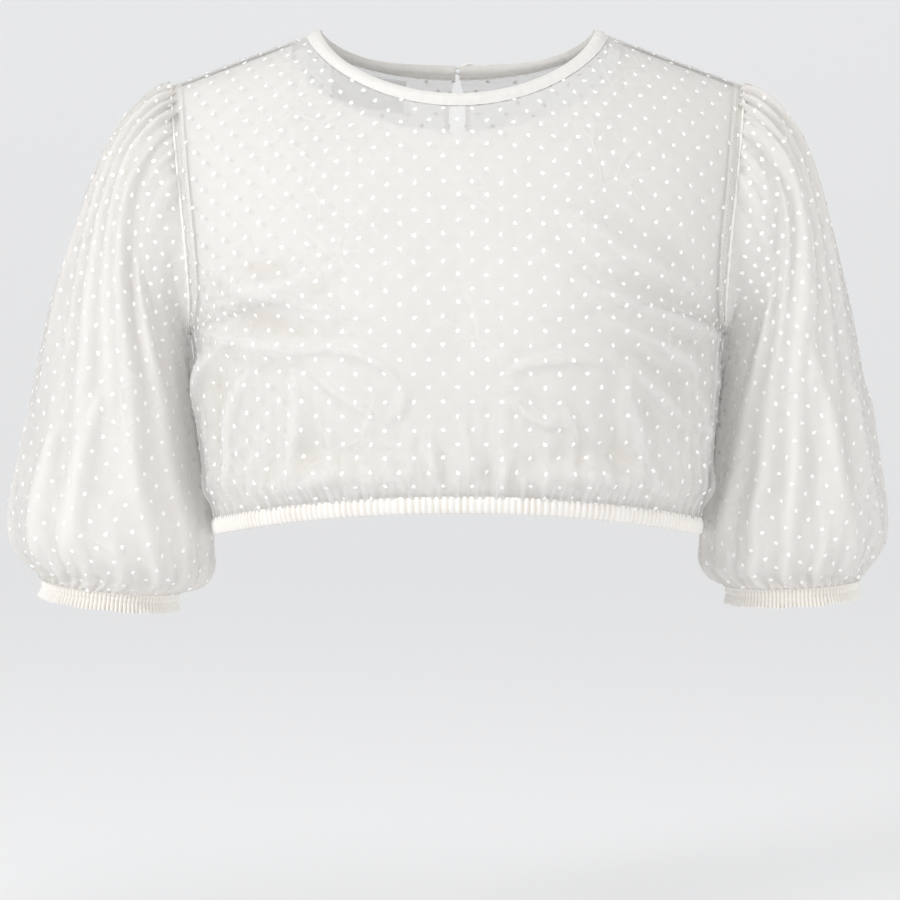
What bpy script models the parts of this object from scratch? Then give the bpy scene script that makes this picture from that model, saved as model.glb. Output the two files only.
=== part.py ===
"""A cropped dirndl blouse of ivory dotted tulle with gathered puff sleeves, filled out as worn, with nobody in it.

Metres, +Z up. The front faces -Y and the wearer's left is +X. The origin is the middle of the neck opening, level
with the tops of the shoulders, where the wearer holds the blouse up. Every piece of cloth is a closed wall, worked
out from the sizes and the short tables below.
"""

import bmesh
import bpy
import numpy as np

# Cloth and seams.
TULLE = 0.0010
LINING = 0.0010
SEAM_GAP = 0.0003
SLEEVE_EASE = 0.0012
SHOULDER_SEAM_Y = 0.005

# Neck and shoulders, at the tulle's edges.
NECK_HALF_WIDTH = 0.0966
NECK_POINT_Z = -0.005
SHOULDER_HALF_WIDTH = 0.186
SHOULDER_POINT_Z = -0.0380
FRONT_NECK_Z = -0.0512
BACK_NECK_Z = -0.0315
FRONT_NECK_ROUNDNESS = 1.42
BACK_NECK_ROUNDNESS = 1.3
FRONT_SHOULDER_ROUND = 0.078
BACK_SHOULDER_ROUND = 0.066

# Armholes, hem and the slit at the centre back.
UNDERARM_Z = -0.200
SIDE_HEM_Z = -0.331
FRONT_HEM_RISE = 0.023
BACK_HEM_RISE = 0.013
HEM_CURVE = 1.6
SLIT_LENGTH = 0.062
SLIT_HALF_WIDTH = 0.0048
SLIT_TOP_HALF_WIDTH = 0.0012
BUST_FULLNESS = 0.009
BUST_X, BUST_Z = 0.078, -0.195
BUST_WIDTH, BUST_HEIGHT = 0.048, 0.052

# Elastic hem band, neck binding and cuffs.
BAND_HEIGHT = 0.0090
BAND_OUTSIDE = 0.0012
BAND_INSIDE = 0.0038
BAND_PLEATS = 72
BINDING_WIDTH = 0.0088
BINDING_FRONT_WIDTH = 0.0072
BINDING_THICKNESS = 0.0024
BINDING_EASE = 0.0003
BINDING_LEAN_CENTRE, BINDING_LEAN_SIDE = 18.0, 62.0
CUFF_PLEATS = 36

# Lining of the body.
LINING_NECK_HALF_WIDTH = 0.109
LINING_FRONT_NECK_Z = -0.0675
LINING_BACK_NECK_Z = -0.097
LINING_NECK_ROUNDNESS = 1.15
LINING_TOP_DEPTH, LINING_HEM_DEPTH, LINING_LOOSENESS = 0.0027, 0.0036, 0.0020

# Label, button and loop.
LABEL_ACROSS, LABEL_DOWN = (0.135, 0.340), (0.006, 0.072)
LABEL_THICKNESS, LABEL_INSIDE = 0.0008, 0.0024
BUTTON_X, BUTTON_RADIUS = 0.0085, 0.0036
BUTTON_PROFILE = ((0.0026, 0.0), (0.0036, 0.0006), (0.0036, 0.0016), (0.0029, 0.0023), (0.0015, 0.0027))
LOOP_RADIUS, LOOP_TAIL = 0.0007, 0.0075


class Table:
    """Sizes in named columns, joined by smooth curves that are read at any value of the first column."""

    def __init__(self, columns, rows):
        self.columns = columns
        self.rows = np.array(sorted(rows), float)

    def __call__(self, column, key):
        """The value of a column at one key or an array of keys, held at the first and last rows beyond them."""
        keys = self.rows[:, 0]
        values = self.rows[:, self.columns.index(column)]
        slopes = np.gradient(values, keys)
        key = np.clip(key, keys[0], keys[-1])
        at = np.clip(np.searchsorted(keys, key, side="right") - 1, 0, len(keys) - 2)
        step = keys[at + 1] - keys[at]
        t = (key - keys[at]) / step
        start = (1 + 2 * t) * (1 - t) ** 2 * values[at] + t * (1 - t) ** 2 * step * slopes[at]
        end = t**2 * (3 - 2 * t) * values[at + 1] + t**2 * (t - 1) * step * slopes[at + 1]
        return start + end


# The figure under the blouse, at each height. Above the underarm the half width is where the front and back
# would meet if the armholes didn't cut them off.
TORSO = Table(
    ("height", "half_width", "front_depth", "back_depth"),
    (
        (0.010, 0.2000, 0.060, 0.070),
        (-0.045, 0.1960, 0.071, 0.082),
        (-0.100, 0.1915, 0.095, 0.096),
        (-0.150, 0.1860, 0.114, 0.101),
        (-0.200, 0.1745, 0.123, 0.100),
        (-0.245, 0.1710, 0.123, 0.096),
        (-0.290, 0.1675, 0.119, 0.090),
        (-0.322, 0.1600, 0.109, 0.084),
        (-0.335, 0.1590, 0.107, 0.082),
    ),
)
SECTION_SQUARENESS = 0.87

# Where the armhole seam lies, seen from the front.
ARMHOLE = Table(
    ("height", "x"),
    (
        (SHOULDER_POINT_Z, SHOULDER_HALF_WIDTH),
        (-0.070, 0.1825),
        (-0.100, 0.1790),
        (-0.150, 0.1735),
        (-0.180, 0.1722),
        (-0.194, 0.1735),
        (UNDERARM_Z, 0.1745),
    ),
)

# Each sleeve's rings from the armhole to the cuff. A ring runs round from its outer point to its inner point, as
# deep as the half depth on both sides of its middle. The wearer's right sleeve hangs a little wider.
SLEEVE_COLUMN_NAMES = ("along", "outer_x", "outer_z", "inner_x", "inner_z", "half_depth", "middle_y")
SLEEVES = {
    "left": Table(
        SLEEVE_COLUMN_NAMES,
        (
            (0.000, 0.1860, -0.0385, 0.1745, -0.2000, 0.0460, 0.005),
            (0.045, 0.1988, -0.0419, 0.1790, -0.2011, 0.0520, 0.007),
            (0.100, 0.2128, -0.0548, 0.1786, -0.2054, 0.0560, 0.010),
            (0.180, 0.2291, -0.0829, 0.1763, -0.2148, 0.0580, 0.014),
            (0.290, 0.2436, -0.1253, 0.1744, -0.2293, 0.0600, 0.017),
            (0.410, 0.2565, -0.1730, 0.1731, -0.2469, 0.0610, 0.019),
            (0.540, 0.2668, -0.2250, 0.1716, -0.2686, 0.0620, 0.020),
            (0.670, 0.2749, -0.2771, 0.1698, -0.2934, 0.0630, 0.020),
            (0.790, 0.2807, -0.3169, 0.1646, -0.3200, 0.0630, 0.019),
            (0.860, 0.2797, -0.3363, 0.1610, -0.3394, 0.0610, 0.018),
            (0.920, 0.2736, -0.3501, 0.1620, -0.3536, 0.0560, 0.018),
            (0.965, 0.2680, -0.3577, 0.1700, -0.3618, 0.0490, 0.018),
            (1.000, 0.2659, -0.3623, 0.1768, -0.3669, 0.0455, 0.018),
        ),
    ),
    "right": Table(
        SLEEVE_COLUMN_NAMES,
        (
            (0.000, 0.1860, -0.0385, 0.1745, -0.2000, 0.0460, 0.005),
            (0.045, 0.1987, -0.0419, 0.1790, -0.2011, 0.0520, 0.007),
            (0.100, 0.2132, -0.0549, 0.1786, -0.2053, 0.0560, 0.010),
            (0.180, 0.2304, -0.0829, 0.1763, -0.2147, 0.0580, 0.014),
            (0.290, 0.2486, -0.1252, 0.1744, -0.2291, 0.0600, 0.017),
            (0.410, 0.2653, -0.1728, 0.1736, -0.2466, 0.0620, 0.019),
            (0.540, 0.2774, -0.2245, 0.1721, -0.2681, 0.0640, 0.020),
            (0.670, 0.2868, -0.2764, 0.1703, -0.2926, 0.0660, 0.020),
            (0.790, 0.2931, -0.3171, 0.1651, -0.3221, 0.0670, 0.019),
            (0.860, 0.2905, -0.3363, 0.1615, -0.3434, 0.0650, 0.018),
            (0.920, 0.2829, -0.3495, 0.1620, -0.3586, 0.0590, 0.018),
            (0.965, 0.2773, -0.3566, 0.1700, -0.3668, 0.0510, 0.018),
            (1.000, 0.2753, -0.3617, 0.1835, -0.3718, 0.0455, 0.018),
        ),
    ),
}

# A cuff's rings from the sleeve's end down: the elastic holds its middle in, and its free edge is a short frill.
CUFF = Table(
    ("along", "drop", "spread", "pleat_depth"),
    (
        (0.00, 0.0000, 0.0000, 0.0011),
        (0.30, 0.0030, -0.0012, 0.0009),
        (0.62, 0.0070, -0.0012, 0.0009),
        (1.00, 0.0115, 0.0026, 0.0019),
    ),
)

# The largest folds of the front and back: soft ridges from one point to another, seen from the front.
BODY_FOLDS = (
    # side, start x, start z, end x, end z, height, width
    ("front", 0.160, -0.150, 0.060, -0.245, 0.0035, 0.013),
    ("front", 0.165, -0.190, 0.090, -0.290, 0.0035, 0.012),
    ("front", -0.165, -0.175, -0.075, -0.120, 0.0030, 0.013),
    ("front", -0.160, -0.215, -0.095, -0.290, 0.0035, 0.013),
    ("front", 0.030, -0.285, 0.150, -0.300, 0.0040, 0.011),
    ("front", -0.035, -0.290, -0.150, -0.303, 0.0040, 0.011),
    ("back", 0.150, -0.140, 0.060, -0.260, 0.0030, 0.014),
    ("back", -0.150, -0.150, -0.060, -0.250, 0.0030, 0.014),
    ("back", 0.030, -0.285, 0.140, -0.300, 0.0035, 0.012),
    ("back", -0.030, -0.290, -0.140, -0.300, 0.0035, 0.012),
)

# A sleeve's long folds: where each runs round the sleeve (0 is the shoulder, positive towards the front,
# 0.5 the underarm), from where to where along it, its height and its width as a share of the way round.
SLEEVE_FOLDS = (
    (0.10, 0.02, 0.40, 0.0035, 0.030),
    (0.19, 0.02, 0.62, 0.0045, 0.026),
    (0.28, 0.10, 0.80, 0.0040, 0.030),
    (0.36, 0.45, 0.98, 0.0045, 0.032),
    (0.04, 0.50, 0.98, 0.0030, 0.036),
    (-0.09, 0.02, 0.45, 0.0035, 0.030),
    (-0.20, 0.05, 0.70, 0.0045, 0.028),
    (-0.30, 0.40, 0.98, 0.0040, 0.032),
    (-0.40, 0.20, 0.85, 0.0030, 0.034),
)

# Rows of each body panel, as shares of the way from the top edge to the hem band.
ARMHOLE_STEPS = 8
UNDERARM_SHARE = (UNDERARM_Z - SHOULDER_POINT_Z) / (SIDE_HEM_Z + BAND_HEIGHT - SHOULDER_POINT_Z)
ARMHOLE_ROWS = UNDERARM_SHARE * (1 - np.cos(np.pi * np.arange(ARMHOLE_STEPS + 1) / ARMHOLE_STEPS)) / 2
SIDE_ROWS = UNDERARM_SHARE + (1 - UNDERARM_SHARE) * np.array((0.24, 0.46, 0.66, 0.82, 0.92, 1.0))
PANEL_ROWS = np.concatenate((ARMHOLE_ROWS, SIDE_ROWS))
PANEL_COLUMNS = 14
PANEL_GATHERED_ROWS = 2
SLEEVE_COLUMNS = 4 * ARMHOLE_STEPS
SLEEVE_ROWS = (0.0, 0.022, 0.055, 0.115, 0.20, 0.31, 0.43, 0.55, 0.67, 0.77, 0.85, 0.91, 0.955, 1.0)

MATERIALS = {
    # slot: colour, roughness
    "dotted_tulle": ((0.90, 0.89, 0.86), 0.70),
    "lining_cloth": ((0.93, 0.915, 0.88), 0.75),
    "binding_cloth": ((0.92, 0.90, 0.87), 0.60),
    "elastic_casing": ((0.92, 0.905, 0.875), 0.70),
    "label_satin": ((0.94, 0.945, 0.96), 0.35),
    "button_shell": ((0.88, 0.86, 0.82), 0.25),
}


def sign_of(side):
    """+1 for the back and the wearer's left, -1 for the front and the wearer's right."""
    return {"back": 1.0, "front": -1.0, "left": 1.0, "right": -1.0}[side]


def shoulder_line(x):
    """The height of the shoulder seam at x, level across the neck opening."""
    slope = (SHOULDER_POINT_Z - NECK_POINT_Z) / (SHOULDER_HALF_WIDTH - NECK_HALF_WIDTH)
    return NECK_POINT_Z + slope * np.maximum(np.abs(x) - NECK_HALF_WIDTH, 0)


def torso(side, angle, height):
    """A point of the front or back over the figure, at an angle from the centre line round to the side."""
    x = TORSO("half_width", height) * np.sin(angle)
    radius = FRONT_SHOULDER_ROUND if side == "front" else BACK_SHOULDER_ROUND
    drop = np.clip((shoulder_line(x) - height) / radius, 0, 1)
    over_shoulder = np.sqrt(np.maximum(1 - (1 - drop) ** 2, 0))
    depth = TORSO(side + "_depth", height) * np.cos(np.clip(angle, -1.5707, 1.5707)) ** SECTION_SQUARENESS
    if side == "front":
        across = (np.abs(x) - BUST_X) / BUST_WIDTH
        up = (height - BUST_Z) / BUST_HEIGHT
        depth = depth + BUST_FULLNESS * np.exp(-0.5 * (across**2 + up**2)) * np.cos(angle)
    y = SHOULDER_SEAM_Y + sign_of(side) * (SEAM_GAP / 2 + depth * over_shoulder)
    return np.stack(np.broadcast_arrays(x, y, height), axis=-1)


def hem_height(side, angle):
    """The height of the bottom of the hem band, which rides up at the centre front and back."""
    rise = FRONT_HEM_RISE if side == "front" else BACK_HEM_RISE
    return SIDE_HEM_Z + rise * np.abs(np.cos(angle)) ** HEM_CURVE


def slit_edge(height):
    """How far a back panel's edge stands from the centre line: apart in the slit, and a seam's gap below it."""
    share = np.clip((BACK_NECK_Z - height) / SLIT_LENGTH, 0, 1)
    slit = SLIT_HALF_WIDTH * np.sin(np.pi * share) ** 0.8 + SLIT_TOP_HALF_WIDTH * (1 - share)
    return SEAM_GAP / 2 + slit


class Panel:
    """The cut of one body panel on the figure: where its four edges lie, as angles and heights.

    Across runs from the centre line (0) to the armhole and side seam (1), and down from the neck and shoulder
    (0) to the hem (1).
    """

    def __init__(self, side, neck_half_width, neck_z, roundness, slit=False):
        self.side = side
        self.neck_half_width = neck_half_width
        self.neck_z = neck_z
        self.roundness = roundness
        self.slit = slit

    def top(self, across):
        """The neck edge for the inner half of the way across, and the shoulder seam for the outer half."""
        turn = np.clip(across * 2, 0, 1) * np.pi / 2
        start = self.slit_width(self.neck_z) if self.slit else 0.0
        neck_x = start + (self.neck_half_width - start) * np.sin(turn)
        corner = shoulder_line(self.neck_half_width)
        neck_height = corner + (self.neck_z - corner) * np.cos(turn) ** self.roundness
        out = np.clip(across * 2 - 1, 0, 1)
        shoulder_x = self.neck_half_width + (SHOULDER_HALF_WIDTH - self.neck_half_width) * out
        on_neck = across <= 0.5
        x = np.where(on_neck, neck_x, shoulder_x)
        height = np.where(on_neck, neck_height, shoulder_line(shoulder_x))
        return self.angle(x, height), height

    def slit_width(self, height):
        return slit_edge(height) if self.slit else np.zeros_like(height)

    def angle(self, x, height):
        return np.arcsin(np.clip(x / TORSO("half_width", height), 0, 1))

    def edge(self, down):
        """The armhole and the side seam below it."""
        height = SHOULDER_POINT_Z + (SIDE_HEM_Z + BAND_HEIGHT + SEAM_GAP - SHOULDER_POINT_Z) * down
        on_armhole = self.angle(ARMHOLE("x", height), height)
        return np.where(height > UNDERARM_Z + 1e-6, on_armhole, np.pi / 2), height

    def centre(self, down):
        """The centre line, with the slit's edge where the panel has one."""
        bottom = hem_height(self.side, 0.0) + BAND_HEIGHT + SEAM_GAP
        height = self.neck_z + (bottom - self.neck_z) * down
        return self.angle(self.slit_width(height), height), height

    def hem(self, across):
        turned = across * np.pi / 2
        height = hem_height(self.side, turned) + BAND_HEIGHT + SEAM_GAP
        start = self.angle(self.slit_width(height), height)
        return start + (np.pi / 2 - start) * across, height

    def place(self, across, down):
        """The angle and height of a point inside the four edges, blended from all of them."""
        across, down = np.broadcast_arrays(np.asarray(across, float), np.asarray(down, float))
        found = []
        for part in (0, 1):
            top, hem = self.top(across)[part], self.hem(across)[part]
            centre, edge = self.centre(down)[part], self.edge(down)[part]
            top_start, top_end = self.top(np.zeros(1))[part], self.top(np.ones(1))[part]
            hem_start, hem_end = self.hem(np.zeros(1))[part], self.hem(np.ones(1))[part]
            along = (1 - down) * top + down * hem + (1 - across) * centre + across * edge
            corners = (1 - across) * ((1 - down) * top_start + down * hem_start)
            corners = corners + across * ((1 - down) * top_end + down * hem_end)
            found.append(along - corners)
        return found

    def point(self, across, down):
        angle, height = self.place(across, down)
        return torso(self.side, angle, height)


FRONT = Panel("front", NECK_HALF_WIDTH, FRONT_NECK_Z, FRONT_NECK_ROUNDNESS)
BACK = Panel("back", NECK_HALF_WIDTH, BACK_NECK_Z, BACK_NECK_ROUNDNESS, slit=True)
LINING_FRONT = Panel("front", LINING_NECK_HALF_WIDTH, LINING_FRONT_NECK_Z, LINING_NECK_ROUNDNESS)
LINING_BACK = Panel("back", LINING_NECK_HALF_WIDTH, LINING_BACK_NECK_Z, LINING_NECK_ROUNDNESS)


def unit(vectors):
    return vectors / np.maximum(np.linalg.norm(vectors, axis=-1, keepdims=True), 1e-12)


def normals(surface, first, second, out_from, limits=((0, 1), (0, 1))):
    """Unit normals of surface(first, second), by small steps inside its limits, turned away from out_from."""
    step = 0.002
    low_1, high_1 = np.clip(first - step, *limits[0]), np.clip(first + step, *limits[0])
    low_2, high_2 = np.clip(second - step, *limits[1]), np.clip(second + step, *limits[1])
    along_1 = surface(high_1, second) - surface(low_1, second)
    along_2 = surface(first, high_2) - surface(first, low_2)
    found = unit(np.cross(along_1, along_2))
    away = surface(first, second) - out_from
    return found * np.where((found * away).sum(-1, keepdims=True) < 0, -1.0, 1.0)


def new_object(name, vertices, faces, slot, smooth_degrees=40.0):
    """An object with outward faces, shaded smooth, in the slot's material."""
    mesh = bpy.data.meshes.new(name)
    mesh.from_pydata([tuple(float(c) for c in v) for v in vertices], [], faces)
    shape = bmesh.new()
    shape.from_mesh(mesh)
    bmesh.ops.recalc_face_normals(shape, faces=shape.faces)
    shape.to_mesh(mesh)
    shape.free()
    mesh.shade_smooth()
    mesh.set_sharp_from_angle(angle=np.radians(smooth_degrees))
    mesh.materials.append(material(slot))
    made = bpy.data.objects.new(name, mesh)
    bpy.context.scene.collection.objects.link(made)
    return made


def material(slot):
    """The slot's Principled material, made once."""
    if slot in bpy.data.materials:
        return bpy.data.materials[slot]
    colour, roughness = MATERIALS[slot]
    made = bpy.data.materials.new(slot)
    made.use_nodes = True
    shader = made.node_tree.nodes["Principled BSDF"]
    shader.inputs["Base Color"].default_value = (*colour, 1.0)
    shader.inputs["Roughness"].default_value = roughness
    shader.inputs["Metallic"].default_value = 0.0
    return made


def zip_rows(first, second, closed):
    """Triangles between two rows of vertex numbers with their own counts, both spread evenly from 0 to 1."""
    first_count, second_count = len(first) - (not closed), len(second) - (not closed)
    faces, i, j = [], 0, 0
    while i < first_count or j < second_count:
        next_i, next_j = (i + 1) % len(first), (j + 1) % len(second)
        at_i, at_j = i % len(first), j % len(second)
        first_end, second_end = (i + 1) / first_count, (j + 1) / second_count
        if j >= second_count or (i < first_count and first_end <= second_end + 1e-9):
            faces.append((first[at_i], first[next_i], second[at_j]))
            i += 1
        else:
            faces.append((first[at_i], second[next_j], second[at_j]))
            j += 1
    return faces


def build_wall(name, rows, slot, closed=False):
    """A closed wall from rows of (outer points, inner points), each row with its own count of points."""
    vertices, outer, inner = [], [], []
    for outer_row, inner_row in rows:
        for kept, row in ((outer, outer_row), (inner, inner_row)):
            kept.append(list(range(len(vertices), len(vertices) + len(row))))
            vertices.extend(row)
    faces = []
    for upper, lower in zip(outer[:-1], outer[1:]):
        faces += zip_rows(upper, lower, closed)
    for upper, lower in zip(inner[:-1], inner[1:]):
        faces += [face[::-1] for face in zip_rows(upper, lower, closed)]
    for at in (0, -1):
        faces += zip_rows(outer[at], inner[at], closed)
    if not closed:
        for at in (0, -1):
            faces += zip_rows([row[at] for row in outer], [row[at] for row in inner], closed)
    return new_object(name, vertices, faces, slot)


def both_sides(points, outward, thickness):
    return points + outward * thickness / 2, points - outward * thickness / 2


def ridge(x, z, start_x, start_z, end_x, end_z, height, width):
    """How far a soft fold lifts the cloth at (x, z): most along its middle, and nothing past its ends."""
    run_x, run_z = end_x - start_x, end_z - start_z
    length = np.hypot(run_x, run_z)
    along = ((x - start_x) * run_x + (z - start_z) * run_z) / length**2
    aside = ((x - start_x) * run_z - (z - start_z) * run_x) / length
    taper = np.sin(np.pi * np.clip(along, 0, 1)) ** 0.7
    return height * taper * np.exp(-0.5 * (aside / (width / 2)) ** 2)


def body_relief(side, points, across, down):
    """How far the tulle of a body panel stands off its smooth form: long folds, and gathers above the band."""
    lift = np.zeros(np.shape(down))
    for fold_side, *fold in BODY_FOLDS:
        if fold_side == side:
            lift = lift + ridge(points[..., 0], points[..., 2], *fold)
    fade = np.clip((1 - down) / 0.10, 0, 1)
    pleats = np.cos(BAND_PLEATS / 4 * 2 * np.pi * across)
    return lift * np.clip((1 - down) / 0.04, 0, 1) + BAND_OUTSIDE * pleats * (1 - fade) ** 2


def panel_surface(panel, sign):
    """A function of (across, down) for a panel's smooth middle surface on the wearer's left (1) or right (-1)."""

    def surface(across, down):
        flip = np.where(across < 0, -sign, sign)[..., None] ** (1, 0, 0)
        return panel.point(np.abs(across), down) * flip

    return surface


def square_to_seams(outward, points, down):
    """Normals that turn square to the shoulder and side seams, and level at the hem band, as they come to them."""
    to_seam = np.clip(np.abs(points[..., 1] - SHOULDER_SEAM_Y) / 0.012, 0, 1)
    to_band = np.clip((1 - down) / 0.04, 0, 1)
    return unit(outward * np.stack((np.ones(np.shape(down)), to_seam, to_band), -1))


def panel_row(panel, sign, across, down, thickness, lining=False):
    """The outer and inner points of one row of a panel: tulle with its relief, or lining at its depth inside."""
    surface = panel_surface(panel, sign)
    down = np.full(across.shape, down)
    lowest_across = -1 if across.min() < 0 else 0
    limits = ((lowest_across, 1), (0, 1))
    points = surface(across, down)
    axis = points * (0, 0, 1) + np.array((0, SHOULDER_SEAM_Y, -0.03))
    outward = square_to_seams(normals(surface, across, down, axis, limits), points, down)
    lift = -lining_depth(across, down) if lining else body_relief(panel.side, points, across, down)
    return both_sides(points + outward * lift[..., None], outward, thickness)


def lining_depth(across, down):
    """How far the lining's middle lies inside the tulle's: close at the seams, and looser over the chest."""
    loose = LINING_LOOSENESS * np.sin(np.pi * down) * (1 - across**2)
    return LINING_TOP_DEPTH + (LINING_HEM_DEPTH - LINING_TOP_DEPTH) * down + loose


def build_front():
    rows = []
    for number, down in enumerate(PANEL_ROWS):
        gathered = number >= len(PANEL_ROWS) - PANEL_GATHERED_ROWS
        count = BAND_PLEATS if gathered else 2 * PANEL_COLUMNS
        rows.append(panel_row(FRONT, 1, np.linspace(-1, 1, count + 1), down, TULLE))
    return build_wall("front", rows, "dotted_tulle")


def build_back(name, sign):
    rows = []
    for number, down in enumerate(PANEL_ROWS):
        gathered = number >= len(PANEL_ROWS) - PANEL_GATHERED_ROWS
        count = BAND_PLEATS // 2 if gathered else PANEL_COLUMNS
        rows.append(panel_row(BACK, sign, np.linspace(0, 1, count + 1), down, TULLE))
    return build_wall(name, rows, "dotted_tulle")


def build_lining(name, panel):
    across = np.linspace(-1, 1, 2 * PANEL_COLUMNS + 1)
    rows = [panel_row(panel, 1, across, down, LINING, lining=True) for down in PANEL_ROWS]
    return build_wall(name, rows, "lining_cloth")


def armhole_corners(side):
    """The armhole's corners from the shoulder down to the underarm, as the front or back panel has them."""
    panel = FRONT if side == "front" else BACK
    return panel.point(np.ones(ARMHOLE_STEPS + 1), ARMHOLE_ROWS)


def armhole(around):
    """A point of the armhole's polygon: 0 is the shoulder, 0.5 the underarm, and positive is the front."""
    turned = (np.asarray(around, float) + 0.5) % 1.0 - 0.5
    place = np.abs(turned) * 2 * ARMHOLE_STEPS
    at = np.clip(np.floor(place).astype(int), 0, ARMHOLE_STEPS - 1)
    part = (place - at)[..., None]
    front, back = armhole_corners("front"), armhole_corners("back")
    on_front = front[at] * (1 - part) + front[at + 1] * part
    on_back = back[at] * (1 - part) + back[at + 1] * part
    return np.where((turned >= 0)[..., None], on_front, on_back)


def sleeve_ring(around, along, which):
    """A point of a sleeve's smooth form, for the wearer's left, before its folds."""
    size = SLEEVES[which]
    turn = 2 * np.pi * around
    outer = np.stack((size("outer_x", along), size("outer_z", along)), -1)
    inner = np.stack((size("inner_x", along), size("inner_z", along)), -1)
    x, z = np.moveaxis((outer + inner) / 2 + (outer - inner) / 2 * np.cos(turn)[..., None], -1, 0)
    y = size("middle_y", along) - size("half_depth", along) * np.sin(turn)
    ellipse = np.stack((x, y, z), -1)
    share = 1 - (1 - np.clip(along / 0.16, 0, 1)[..., None]) ** 2
    seam = armhole(around) + np.array((SEAM_GAP + TULLE / 2 + SLEEVE_EASE, 0, 0))
    return seam * (1 - share) + ellipse * share


def sleeve_relief(around, along, cuff_fade):
    """Gathers at the sleeve's head and cuff, and the long folds between them."""
    turned = (around + 0.5) % 1.0 - 0.5
    lift = np.zeros(np.shape(around))
    for place, start, end, height, width in SLEEVE_FOLDS:
        part = np.clip((along - start) / (end - start), 0, 1)
        lift = lift + height * np.sin(np.pi * part) ** 0.8 * np.exp(-0.5 * ((turned - place) / width) ** 2)
    head = np.clip(1 - np.abs(turned) / 0.26, 0, 1) ** 0.5 * np.exp(-along / 0.05)
    pleats_in_head = np.cos(2 * np.pi * CUFF_PLEATS * turned)
    cuff = cuff_fade * np.cos(2 * np.pi * CUFF_PLEATS * turned)
    return lift + 0.0012 * head * pleats_in_head + CUFF("pleat_depth", 0.0) * cuff


def build_sleeve(which):
    sign = sign_of(which)
    mirror = np.array((sign, 1.0, 1.0))
    rows = []
    for number, along in enumerate(SLEEVE_ROWS):
        gathered = number < 2 or number >= len(SLEEVE_ROWS) - 2
        count = 2 * CUFF_PLEATS if gathered else SLEEVE_COLUMNS
        around = np.arange(count) / count
        level = np.full(count, along)

        def surface(a, b):
            return sleeve_ring(a, b, which)

        middle = surface(np.array((0.0, 0.25, 0.5, 0.75)), np.full(4, along)).mean(0)
        points = surface(around, level)
        outward = normals(surface, around, level, middle, ((-2, 2), (0, 1)))
        if number == 0:
            onward = unit(surface(around, level + 0.02) - points)
            outward = unit(outward - onward * (outward * onward).sum(-1, keepdims=True))
        if number == len(SLEEVE_ROWS) - 1:
            outward = unit(points - middle)
        fade = np.exp(-(1 - level) / 0.05)
        points = points + outward * sleeve_relief(around, level, fade)[..., None]
        outer_row, inner_row = both_sides(points, outward, TULLE)
        rows.append((outer_row * mirror, inner_row * mirror))
    return build_wall("sleeve_" + which, rows, "dotted_tulle", closed=True)


def build_cuff(which):
    """The shirred cuff below a sleeve, with its pleats running on from the sleeve's gathers."""
    mirror = np.array((sign_of(which), 1.0, 1.0))
    count = 2 * CUFF_PLEATS
    around = np.arange(count) / count
    end = sleeve_ring(around, np.ones(count), which)
    middle = end.mean(0)
    axis = unit(np.cross(end[count // 4] - middle, end[0] - middle))
    axis = axis * (-1.0 if axis[2] > 0 else 1.0)
    outward = unit(end - middle)
    rows = []
    for along in (0.0, 0.3, 0.62, 1.0):
        spread = CUFF("spread", along) + CUFF("pleat_depth", along) * np.cos(2 * np.pi * CUFF_PLEATS * around)
        drop = SEAM_GAP + CUFF("drop", along)
        points = end + axis * drop + outward * spread[..., None]
        outer_row, inner_row = both_sides(points, outward, TULLE)
        rows.append((outer_row * mirror, inner_row * mirror))
    return build_wall("cuff_" + which, rows, "elastic_casing", closed=True)


def band_loop(height_above_hem):
    """Points right round the hem band at a height above its bottom edge, with the pleats and the way out there."""
    count = 2 * BAND_PLEATS
    turned = np.arange(count) / count * 2 * np.pi
    points = np.zeros((count, 3))
    for side in ("front", "back"):
        here = np.cos(turned) * -sign_of(side) >= -1e-9
        angle = np.arcsin(np.clip(np.sin(turned[here]), -1, 1))
        height = hem_height(side, angle) + height_above_hem
        points[here] = torso(side, angle, height)
    around_z = points * (0, 0, 1) + np.array((0, SHOULDER_SEAM_Y, 0))
    ahead, behind = np.roll(points, -1, axis=0), np.roll(points, 1, axis=0)
    outward = unit(np.cross(ahead - behind, np.array((0, 0, 1.0))))
    away = points - around_z
    outward = outward * np.where((outward * away).sum(-1, keepdims=True) < 0, -1.0, 1.0)
    pleats = np.cos(BAND_PLEATS * turned)
    return points, pleats, outward


def build_hem_band():
    """The elastic's casing: pleated outside, and smooth inside where it holds the lining too."""
    rows = []
    for height in (BAND_HEIGHT, 0.0):
        base, pleats, outward = band_loop(height)
        outer_row = base + outward * (TULLE / 2 + BAND_OUTSIDE * pleats)[..., None]
        inner_row = base - outward * BAND_INSIDE
        rows.append((outer_row, inner_row))
    return build_wall("hem_band", rows, "elastic_casing", closed=True)


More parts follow.
